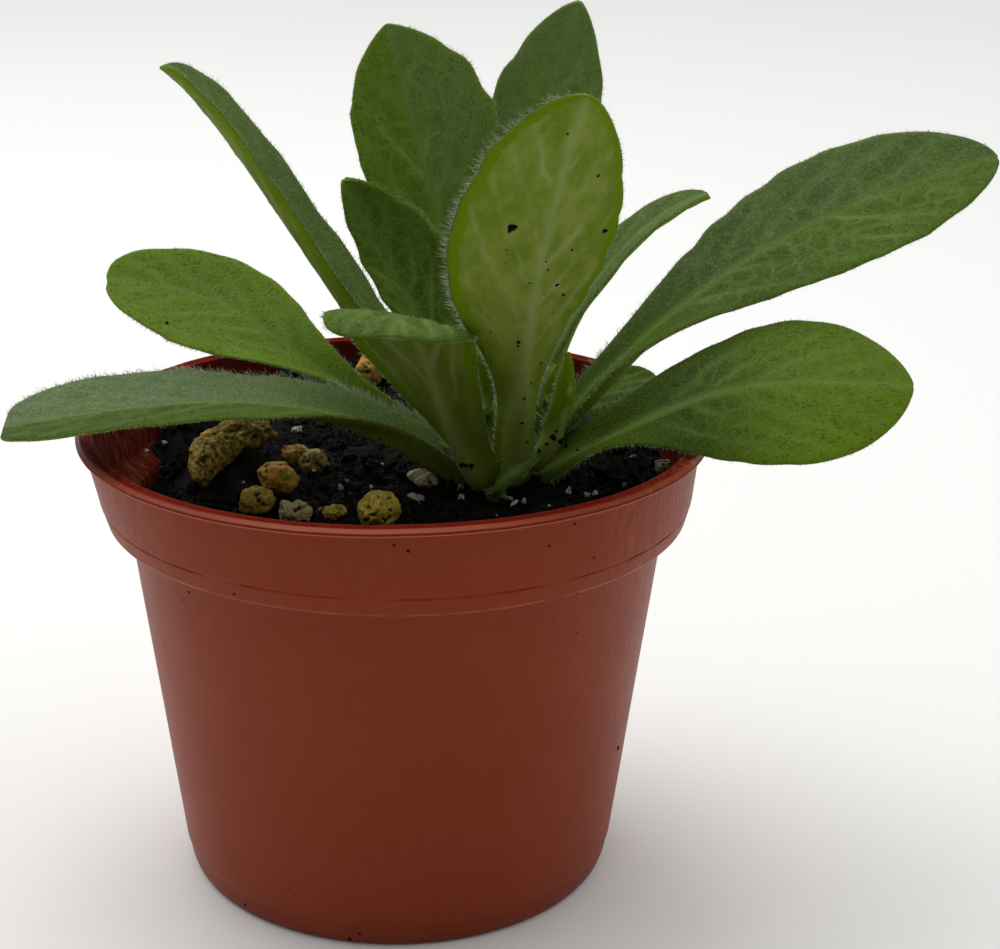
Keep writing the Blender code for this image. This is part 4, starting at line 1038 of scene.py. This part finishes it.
class PotOperator(bpy.types.Operator):
    """Spins the pot from its outline, drills its drain holes and makes its rim uneven"""

    bl_idname = "primulina.pot"
    bl_label = "Pot"

    def execute(self, context):
        look = context.scene.primulina.pot
        pot = spun(POT_OUTLINE, look.steps)
        cutters = []
        for turn in map(radians, DRAIN_TURNS):
            deselect()
            where = Vector((DRAIN_RING_R * cos(turn), DRAIN_RING_R * sin(turn), FLOOR_BOTTOM_Z)) * MM
            bpy.ops.mesh.primitive_cylinder_add(vertices=32, radius=DRAIN_HOLE_R * MM, depth=8.0 * MM,
                                                location=where)
            cutters.append(bpy.context.object)
            hole = pot.modifiers.new("drain hole", "BOOLEAN")
            hole.operation, hole.solver, hole.object = "DIFFERENCE", "EXACT", cutters[-1]
        apply_all(pot)
        for cutter in cutters:
            bpy.data.objects.remove(cutter, do_unlink=True)
        points = get_points(pot.data) / MM
        x, y, z = points.T.copy()
        reach = np.hypot(x, y)
        give(pot.data, "side", self.marks(x, y, z, reach))
        aside = (x / np.maximum(reach, 1e-4)) ** 4
        lift = smooth_step((z - COLLAR_BOTTOM_Z) / (LIP_TOP - COLLAR_BOTTOM_Z))
        points[:, 0] -= np.where(x < 0.0, RIM_SQUEEZE * aside * lift, 0.0)
        towards = (RISE_TOWARDS[0] * x + RISE_TOWARDS[1] * y) / np.maximum(reach, 1e-4)
        lift = smooth_step((z - RIM_RISE_FROM_Z) / (LIP_TOP - RIM_RISE_FROM_Z))
        points[:, 2] += RIM_RISE * np.maximum(towards, 0.0) ** 2 * lift
        uneven = lumps(np.stack([x, y, 0.3 * z], -1), 7.0)
        points[:, 2] += 0.07 * uneven * smooth_step((z - 64.0) / 3.0)
        set_points(pot.data, points * MM)
        shade_by_angle(pot, 50)
        keep(pot, "moulded_pot", moulded_polypropylene(look), "pot_plastic", "pot")
        return {"FINISHED"}

    def marks(self, x, y, z, reach):
        """How far each point is on the inner wall, which gets painted shade, on an edge that gets a painted
        highlight, and in painted shade.

        The groove has painted shade all round, the bead has it but at the front, the rim has it at the back,
        and the collar's line has it in patches. A painted highlight lies on the front of the rim's top, under
        the lip and along the collar's lower edge.
        """
        inside = smooth_step((np.interp(z, *np.array(WALL_MIDDLE).T) - reach) / 0.3) * (z > 1.1)
        patchy = np.clip(0.5 + lumps(np.stack([x, y, 0.0 * z], -1), 5.0), 0.0, 1.0)
        on_top = z > RIM_TOP_Z
        bead = on_top & (reach > GROOVE_R) & (reach < BEAD_R)
        lip_foot = (z > 66.9) & (z < RIM_TOP_Z) & (reach > 44.9)
        collar_foot = (z > 55.7) & (z < 56.1) & (reach > 41.5)
        # A painted highlight lights the front of the rim's top, the lip's foot and the collar's lower edge.
        painted_highlight = 0.3 * (on_top & (reach > BEAD_R)) * np.clip((-38.5 - y) / 5.0, 0.0, 1.0)
        painted_highlight = painted_highlight + 0.6 * lip_foot + 0.4 * patchy * collar_foot
        # Painted shade darkens the groove, the lip's outer edge, the bead but at the front, the collar's line
        # and the back of the rim.
        painted_shade = on_top & ((reach < GROOVE_R) | (reach > LIP_EDGE_R))
        painted_shade = painted_shade + bead * np.clip((y + 43.5) / 12.0, 0.0, 0.8)
        painted_shade = painted_shade + 0.8 * patchy * (np.abs(z - COLLAR_LINE_Z) < 0.18)
        painted_shade = painted_shade + (z > 66.8) * smooth_step((y - 5.0) / 15.0)
        painted_shade = np.clip(painted_shade, 0.0, 1.0) * (1.0 - inside)
        return np.column_stack([inside, painted_highlight * (1.0 - painted_shade), painted_shade])


class SoilOperator(bpy.types.Operator):
    """Makes the bed of peat, its crumbs, clods and fibres, and the white perlite"""

    bl_idname = "primulina.soil"
    bl_label = "Peat and perlite"

    def execute(self, context):
        look = context.scene.primulina.soil
        material = peat(look)
        rng = np.random.default_rng(11)
        self.bed(material)
        self.crumbs(look, material, rng)
        self.fibres(look, material, rng)
        self.perlite(look, rng)
        return {"FINISHED"}

    def bed(self, material):
        edge = 41.0
        rings = [(edge * t, 60.0) for t in np.linspace(0.0, 1.0, 92)]
        side = [(edge, 59.1), (38.0, 57.2), (37.0, 52.0), (34.7, 34.0), (32.6, 18.0), (30.9, 5.7),
                (28.5, 3.3), (0.0, 3.3)]
        bed = spun(rings + side, 230)
        points = get_points(bed.data) / MM
        x, y, z = points.T
        reach = np.hypot(x, y)
        top = ground(x, y)
        spots = np.stack([x, y, np.zeros_like(x)], -1)
        top = top + lumps(spots + 7.0, 3.0, 5) * 0.75 - 0.4
        for at, rise, half, *_ in GRANULES.values():
            near = np.exp(-((x - at[0]) ** 2 + (y - at[1]) ** 2) / (half[1] * 1.1) ** 2)
            top = top - 0.7 * near
        wall = np.where(top < LEDGE_Z, 38.0 + (np.maximum(top, 57.1) - 57.1) * 1.9, WALL_R) - SOIL_GAP
        on_top = z > 59.5
        near_top = (z > 57.0) & ~on_top
        shrink = np.where(on_top | near_top, np.minimum(1.0, wall / np.maximum(reach, 1.0)), 1.0)
        new_z = np.where(on_top, top, np.where(near_top, np.minimum(z, top - 0.6), z))
        set_points(bed.data, np.stack([x * shrink, y * shrink, new_z], -1) * MM)
        give(bed.data, "tint", np.zeros((len(points), 3)))
        shade_by_angle(bed, 60)
        keep(bed, "peat_bed", material, "peat", "soil")

    def scatter(self, rng, count, reach=40.3):
        """Even random places on the soil, clear of the crown and of the clay granules."""
        spots = np.empty((0, 2))
        while len(spots) < count:
            tried = rng.uniform(-reach, reach, (count * 2, 2))
            good = np.hypot(*tried.T) < reach
            good &= np.hypot(tried[:, 0] - CROWN_AT[0], tried[:, 1] - CROWN_AT[1]) > 5.0
            for at, _, half, *_ in GRANULES.values():
                good &= np.hypot(tried[:, 0] - at[0], tried[:, 1] - at[1]) > 0.8 * max(half[:2])
            spots = np.concatenate([spots, tried[good]])
        spots = spots[:count]
        limit = np.where(soil_height(*spots.T) < LEDGE_Z, 37.2 / reach, 1.0)
        return spots * np.where(np.hypot(*spots.T) > 37.2, limit, 1.0)[:, None]

    def crumbs(self, look, material, rng):
        """Fine angular crumbs and some larger clods, each stretched its own way."""
        for name, count, steps, sizes in (("peat_crumbs", look.crumbs, 1, (0.13, 0.42)),
                                          ("peat_clods", look.clods, 3, (0.4, 0.9))):
            model = pebble(steps, 0.9, 3.0 + steps)
            spots = self.scatter(rng, count)
            size = mix(sizes[0], sizes[1], rng.random(count) ** 2)
            stretch = np.exp(rng.normal(size=(count, 3)) * 0.38)
            high = ground(*spots.T) + rng.uniform(-0.5, -0.05, count) + size * 0.2
            places = np.column_stack([spots, high]) * MM
            points, triangles = copies(model, places, random_turns(rng, count), size[:, None] * stretch * MM)
            tint = np.repeat(np.where(rng.random(count) < 0.14, rng.uniform(0.4, 1.0, count),
                                      0.2 * rng.random(count)), len(model.data.vertices))
            bpy.data.objects.remove(model, do_unlink=True)
            piece = from_triangles(name, points, triangles)
            give(piece.data, "tint", np.column_stack([tint, np.zeros_like(tint), np.zeros_like(tint)]))
            shade_by_angle(piece, 25)
            keep(piece, name, material, "peat")

    def fibres(self, look, material, rng):
        count = look.fibres
        spots = self.scatter(rng, count, 39.0)
        turn = rng.uniform(0, tau, count)
        tilt = rng.uniform(-0.3, 0.45, count)
        aims = np.stack([np.cos(turn) * np.cos(tilt), np.sin(turn) * np.cos(tilt), np.sin(tilt)], -1)
        lengths = mix(1.0, 5.0, rng.random(count) ** 2.5)
        widths = mix(0.06, 0.2, rng.random(count) ** 2)
        starts = np.column_stack([spots, ground(*spots.T) + rng.uniform(-0.3, 0.15, count)])
        bends = rng.normal(size=(count, 3)) * [0.7, 0.7, 0.25]
        points, triangles = hairs(starts * MM, aims, lengths * MM, widths * MM, bends * MM)
        brown = np.repeat(rng.random(count) ** 1.5, 7)
        straw = np.repeat(np.where(rng.random(count) < 0.06, 0.6, 0.0), 7)
        piece = from_triangles("peat_fibres", points, triangles)
        give(piece.data, "tint", np.column_stack([brown, straw, 0 * straw]))
        keep(piece, "peat_fibres", material, "peat")

    def perlite(self, look, rng):
        model = pebble(3, 1.0, 9.0)
        table = np.array(PERLITE)
        high = ground(table[:, 0], table[:, 1]) + 0.1
        places = np.column_stack([table[:, :2], high]) * MM
        stretch = np.exp(rng.normal(size=(len(table), 3)) * 0.3)
        points, triangles = copies(model, places, random_turns(rng, len(table)),
                                   table[:, 2:] * stretch * 0.4 * MM)
        bpy.data.objects.remove(model, do_unlink=True)
        piece = from_triangles("perlite_bits", points, triangles)
        keep(piece, "perlite_bits", perlite(look), "clay_granule")


class GranulesOperator(bpy.types.Operator):
    """Makes the clay granules as pitted, knobbly pebbles in their places"""

    bl_idname = "primulina.granules"
    bl_label = "Clay granules"

    def execute(self, context):
        look = context.scene.primulina.granule
        material = fired_clay(look)
        for name, lump in GRANULES.items():
            self.granule(name, look, material, *lump)
        return {"FINISHED"}

    def granule(self, name, look, material, at, rise, half, turn, tilt, bend, orange, darkening, parts):
        deselect()
        bpy.ops.mesh.primitive_ico_sphere_add(subdivisions=6 if max(half) > 5 else 5, radius=1.0)
        piece = bpy.context.object
        ball = get_points(piece.data)
        seat = np.array([*at, float(soil_height(*at)) + rise])
        tint = np.full(len(ball), orange)
        reach = np.ones(len(ball))
        if parts:
            exits = np.stack([self.way_out(ball, middle, size) for middle, size, _ in parts])
            reach = exits.max(0)
            tint = tint + np.array([more for *_, more in parts])[exits.argmax(0)]
        knob = reach * (1.0 + 0.16 * np.array([noise.noise(Vector(p) * 1.6 + Vector(seat)) for p in ball]))
        points = ball * (np.array(half) * knob[:, None])
        rough = lumps(points + seat, 1.6, 4)
        facets = np.abs(lumps(points + seat + 9.0, 2.2, 2))
        pits = np.maximum(lumps(points - seat, 1.1, 2) - 0.2, 0.0)
        cracks = np.exp(-(lumps(points + seat - 5.0, 3.2, 2) / 0.03) ** 2)
        depth = 0.2 * rough - 0.45 * facets - 0.16 * cracks - pits * look.pit_depth / MM
        points = points + ball * (depth + 0.08)[:, None]
        points[:, 1] -= bend * points[:, 0] ** 2
        spin = Matrix.Rotation(radians(turn), 3, "Z") @ Matrix.Rotation(radians(-tilt), 3, "Y")
        set_points(piece.data, (points @ np.array(spin).T + seat) * MM)
        # The second mark takes the larger of the cracks and the granule's painted shade from the leaves
        # above.
        marks = [tint, np.maximum(cracks, darkening), np.clip(pits * 4.0, 0.0, 1.0)]
        give(piece.data, "tint", np.column_stack(marks))
        shade_by_angle(piece, 180)
        keep(piece, "fired_" + name, material, "clay_granule", name)

    def way_out(self, ball, middle, size):
        """How far out a line from the granule's middle leaves this lump, for each direction."""
        way, start = ball / size, -np.array(middle) / size
        a, b, c = np.sum(way * way, 1), way @ start, start @ start - 1.0
        inside = b * b - a * c
        return np.where(inside > 0.0, (np.sqrt(np.maximum(inside, 0.0)) - b) / a, 0.3)


class CrownOperator(bpy.types.Operator):
    """Spins the short stem that the leaves grow from, and folds its side"""

    bl_idname = "primulina.crown"
    bl_label = "Crown"

    def execute(self, context):
        look = context.scene.primulina.leaf
        outline = [(0.0, 71.6), (0.7, 71.4), (1.3, 70.9), (2.0, 70.2), (2.6, 69.2), (3.1, 68.0), (3.6, 66.4),
                   (4.1, 64.8), (4.6, 63.0), (5.0, 61.4), (5.2, 60.0), (5.1, 58.0), (5.0, 54.0), (4.6, 50.2),
                   (0.0, 49.4)]
        crown = spun(outline, 72)
        points = get_points(crown.data) / MM
        turn = np.arctan2(points[:, 1], points[:, 0])
        folds = 1.0 + 0.10 * np.cos(5 * turn + 0.5) * smooth_step((points[:, 2] - 57.0) / 3.0)
        points[:, :2] *= (folds + 0.05 * lumps(points, 2.5))[:, None]
        points[:, :2] += CROWN_AT
        set_points(crown.data, points * MM)
        count = len(points)
        give(crown.data, "place", points)
        give(crown.data, "form", np.tile([0.5, 0.0, 0.4], (count, 1)))
        give(crown.data, "shade", np.tile([1.0, 0.0, 0.0], (count, 1)))
        give(crown.data, "tone", np.tile([0.0, 0.6, 0.0], (count, 1)))
        shade_by_angle(crown, 180)
        keep(crown, "crown_stem", leaf_flesh(look, "crown_flesh"), "stem", "crown")
        return {"FINISHED"}


class LeavesOperator(bpy.types.Operator):
    """Models each leaf from a grid rolled into a closed skin, with its veins and waved margin"""

    bl_idname = "primulina.leaves"
    bl_label = "Leaves"

    def execute(self, context):
        look = context.scene.primulina.leaf
        material = leaf_flesh(look, "leaf_flesh")
        for name, leaf in LEAVES.items():
            self.leaf(name, leaf, look, material)
        return {"FINISHED"}

    def leaf(self, name, leaf, look, material):
        small = leaf["width"] < SMALL_WIDTH
        row_step, columns = (0.4, 17) if small else (0.62, 37)
        skin = leaf_skin(leaf, int(leaf_length(leaf) / row_step), columns, look)
        points = skin["points"]
        root = points[0].mean(0)
        inward = root + unit(np.array([*CROWN_AT, root[2] - 1.5]) - root) * 2.4
        squeezed = mix(points[0], inward, 0.4)
        ends = [np.tile(inward, (1, points.shape[1], 1)), squeezed[None], points,
                np.tile(points[-1].mean(0), (1, points.shape[1], 1))]
        points = np.concatenate(ends)
        fields = {field: np.concatenate([values[:1], values[:1], values, values[-1:]])
                  for field, values in skin["fields"].items()}

        deselect()
        turns = points.shape[1]
        bpy.ops.mesh.primitive_grid_add(x_subdivisions=turns, y_subdivisions=len(points) - 1, size=2.0)
        piece = bpy.context.object
        grid = get_points(piece.data)
        column = np.rint((grid[:, 0] + 1.0) / 2 * turns).astype(int) % turns
        row = np.rint((grid[:, 1] + 1.0) / 2 * (len(points) - 1)).astype(int)
        set_points(piece.data, points[row, column] * MM)
        for field, values in fields.items():
            give(piece.data, field, values[row, column])
        bpy.ops.object.mode_set(mode="EDIT")
        bpy.ops.mesh.select_all(action="SELECT")
        bpy.ops.mesh.remove_doubles(threshold=2e-6)
        bpy.ops.mesh.normals_make_consistent(inside=False)
        bpy.ops.object.mode_set(mode="OBJECT")
        bpy.ops.object.shade_smooth()
        slot = "young_leaf" if small else "leaf"
        replaced = [name] if name.startswith("leaf_") else []
        keep(piece, "blade_" + name.removeprefix("leaf_"), material, slot, *replaced)


class SpecksOperator(bpy.types.Operator):
    """Sticks crumbs of dirt to the leaves and the pot"""

    bl_idname = "primulina.specks"
    bl_label = "Dirt specks"

    def execute(self, context):
        rng = np.random.default_rng(5)
        model = pebble(2, 0.9, 21.0)
        places, turns, sizes = [], [], []
        for name, table in SPECKS.items():
            for *near, size in table:
                found, place, normal, _ = bpy.data.objects[name].closest_point_on_mesh(Vector(near) * MM)
                if not found:
                    raise RuntimeError("no surface under a speck of " + name)
                upright = normal.to_track_quat("Z", "Y").to_matrix()
                places.append(place + normal * 0.00005)
                turns.append(upright @ Matrix.Rotation(rng.uniform(0, tau), 3, "Z"))
                wide, long = rng.uniform(0.32, 0.5), rng.uniform(0.45, 0.75)
                sizes.append((size * wide * MM, size * long * MM, size * 0.16 * MM))
        points, triangles = copies(model, places, np.array(turns), np.array(sizes))
        bpy.data.objects.remove(model, do_unlink=True)
        piece = from_triangles("dirt_specks", points, triangles)
        give(piece.data, "tint", np.tile([0.1, 0.0, 0.0], (len(points), 1)))
        keep(piece, "dirt_specks", peat(context.scene.primulina.soil), "peat")
        return {"FINISHED"}


class HairsOperator(bpy.types.Operator):
    """Grows long hairs on the margins and stalks and short ones on the faces of every leaf"""

    bl_idname = "primulina.hairs"
    bl_label = "Leaf hairs"

    def execute(self, context):
        settings = context.scene.primulina
        material = leaf_hair(settings.hair)
        for number, (name, leaf) in enumerate(LEAVES.items()):
            self.coat(name, leaf, settings, material, np.random.default_rng(100 + number))
        return {"FINISHED"}

    def coat(self, name, leaf, settings, material, rng):
        look = settings.hair
        skin = leaf_skin(leaf, 60, 21, settings.leaf)
        points = skin["points"]
        along = unit(np.gradient(points, axis=0))
        middle = points.mean(1, keepdims=True)
        around = np.roll(points, -1, axis=1) - np.roll(points, 1, axis=1)
        normal = unit(np.cross(along, around))
        facing = np.sum(normal * (points - middle), -1, keepdims=True)
        upper = skin["upper"]
        columns = (len(upper) + 2) // 2
        wrong = np.sign(np.sum(facing))
        normal = normal * (wrong if wrong else 1.0)

        groups = []
        stalk_share = 1.0 - smooth_step(skin["s"] / 0.5)
        step = np.linalg.norm(np.diff(middle[:, 0], axis=0), axis=1)
        run = np.concatenate([[0.0], np.cumsum(step)])
        for edge in (0, columns - 1):
            low, high = leaf["fuzz"][0 if edge == 0 else 1]
            count = int(run[-1] * look.per_edge * (0.5 + 0.25 * (low + high)))
            at = np.interp(rng.uniform(0.02, 1.0, count) ** 0.9 * run[-1], run, np.arange(len(run)))
            row = np.minimum(at.astype(int), len(run) - 2)
            share = (at - row)[:, None]
            root = mix(points[row, edge], points[row + 1, edge], share)
            out = unit(root - mix(middle[row, 0], middle[row + 1, 0], share))
            aims = unit(out + along[row, edge] * rng.uniform(0.0, 0.8, (count, 1))
                        + rng.normal(size=(count, 3)) * 0.34)
            fuzz = mix(high, low, stalk_share[row])
            lengths = look.edge_length * fuzz * rng.uniform(0.35, 1.0, count) * (1.0 + 0.5 * stalk_share[row])
            lengths *= mix(1.0, 0.7, smooth_step((at / len(run) - 0.8) / 0.2))
            bends = rng.normal(size=(count, 3)) * look.edge_length * 0.14
            widths = look.edge_width * rng.uniform(0.6, 1.1, count)
            groups.append(hairs((root - out * 0.1) * MM, aims, lengths, widths, bends))

        count_ring = points.shape[1]
        following = np.roll(points, -1, axis=1)
        cell = np.linalg.norm(np.cross(points[1:] - points[:-1], following[:-1] - points[:-1]), axis=-1)
        stalk = stalk_share[:-1, None]
        grey = skin["fields"]["shade"][:-1, :, 1]
        weight = (0.15 + 0.4 * stalk + 1.8 * grey * (upper[None] > 0.4)) * cell
        count = int(weight.sum() * look.per_face)
        picked = rng.choice(weight.size, count, p=weight.ravel() / weight.sum())
        row, column = np.divmod(picked, count_ring)
        next_column = (column + 1) % count_ring
        a, b = rng.random((2, count, 1))
        low = mix(points[row, column], points[row, next_column], a)
        high = mix(points[row + 1, column], points[row + 1, next_column], a)
        root = mix(low, high, b)
        out = normal[row, column]
        aims = unit(out + along[row, column] * rng.uniform(0.0, 0.9, (count, 1))
                    + rng.normal(size=(count, 3)) * 0.4)
        lengths = look.face_length * rng.uniform(0.4, 1.1, count) * (1.0 + 0.9 * stalk_share[row])
        widths = look.face_width * rng.uniform(0.8, 1.2, count)
        groups.append(hairs((root - out * 0.05) * MM, aims, lengths, widths))

        starts = np.cumsum([0] + [len(g[0]) for g in groups[:-1]])
        piece = from_triangles(name, np.concatenate([g[0] for g in groups]),
                               np.concatenate([g[1] + start for g, start in zip(groups, starts)]))
        slot = "young_leaf" if leaf["width"] < SMALL_WIDTH else "leaf"
        keep(piece, "hairs_" + name.removeprefix("leaf_"), material, slot)


class StageOperator(bpy.types.Operator):
    """Sets up the pale floor, the soft room light and the camera"""

    bl_idname = "primulina.stage"
    bl_label = "Stage"

    def execute(self, context):
        look = context.scene.primulina.stage
        deselect()
        bpy.ops.mesh.primitive_plane_add(size=8.0, location=(0, 0, 0))
        floor = bpy.context.object
        floor.name = "floor"
        floor.data.materials.append(painted_board(look))

        world = bpy.data.worlds.new("room")
        context.scene.world = world
        world.use_nodes = True
        tree = world.node_tree
        tree.nodes.clear()
        way = add(tree, "SeparateXYZ", {"Vector": add(tree, "TexCoord").outputs["Generated"]})
        level = add(tree, "MapRange", {"Value": way.outputs["Y"], "From Min": -0.9, "From Max": 0.1,
                                       "To Min": look.front * look.sky, "To Max": look.sky},
                    interpolation_type="SMOOTHSTEP")
        light = add(tree, "Background", {"Color": (1.0, 1.0, 1.0, 1.0), "Strength": level.outputs[0]})
        tree.links.new(light.outputs[0], add(tree, "OutputWorld").inputs["Surface"])

        bpy.ops.object.light_add(type="AREA", location=Vector(KEY_AT) * MM)
        key = bpy.context.object
        key.name = "key_light"
        key.data.size, key.data.energy = KEY_SIZE * MM, look.key
        key.rotation_euler = (Vector(KEY_AIM) * MM - key.location).to_track_quat("-Z", "Y").to_euler()

        bpy.ops.object.camera_add()
        camera = bpy.context.object
        pitch, roll = radians(CAMERA_PITCH), radians(CAMERA_ROLL)
        forward = Vector((0.0, cos(pitch), -sin(pitch)))
        up = Vector((0.0, sin(pitch), cos(pitch)))
        right = Vector((1.0, 0.0, 0.0))
        turned = Matrix((right * cos(roll) + up * sin(roll), up * cos(roll) - right * sin(roll), -forward))
        camera.matrix_world = Matrix.Translation(Vector(CAMERA_AT) * MM) @ turned.transposed().to_4x4()
        camera.data.lens, camera.data.sensor_width = LENS, SENSOR
        camera.data.clip_start = 0.01
        context.scene.camera = camera
        context.scene.view_settings.view_transform = "Standard"
        return {"FINISHED"}


OPERATORS = [PotOperator, SoilOperator, GranulesOperator, CrownOperator, LeavesOperator, SpecksOperator,
             HairsOperator, StageOperator]


class PrimulinaPanel(bpy.types.Panel):
    """Lists the pieces of the potted primulina"""

    bl_idname = "VIEW3D_PT_primulina"
    bl_label = "Potted primulina"
    bl_space_type = "VIEW_3D"
    bl_region_type = "UI"
    bl_category = "Primulina"

    def draw(self, context):
        for operator in OPERATORS:
            self.layout.operator(operator.bl_idname)


CLASSES = [PotSettings, SoilSettings, GranuleSettings, LeafSettings, HairSettings, StageSettings,
           PrimulinaSettings, *OPERATORS, PrimulinaPanel]


def register():
    for each in CLASSES:
        bpy.utils.register_class(each)
    bpy.types.Scene.primulina = PointerProperty(type=PrimulinaSettings)


def unregister():
    del bpy.types.Scene.primulina
    for each in reversed(CLASSES):
        bpy.utils.unregister_class(each)


def main():
    register()
    bpy.ops.primulina.stage()
    bpy.ops.primulina.pot()
    bpy.ops.primulina.soil()
    bpy.ops.primulina.granules()
    bpy.ops.primulina.crown()
    bpy.ops.primulina.leaves()
    bpy.ops.primulina.specks()
    bpy.ops.primulina.hairs()


if __name__ == "__main__":
    main()
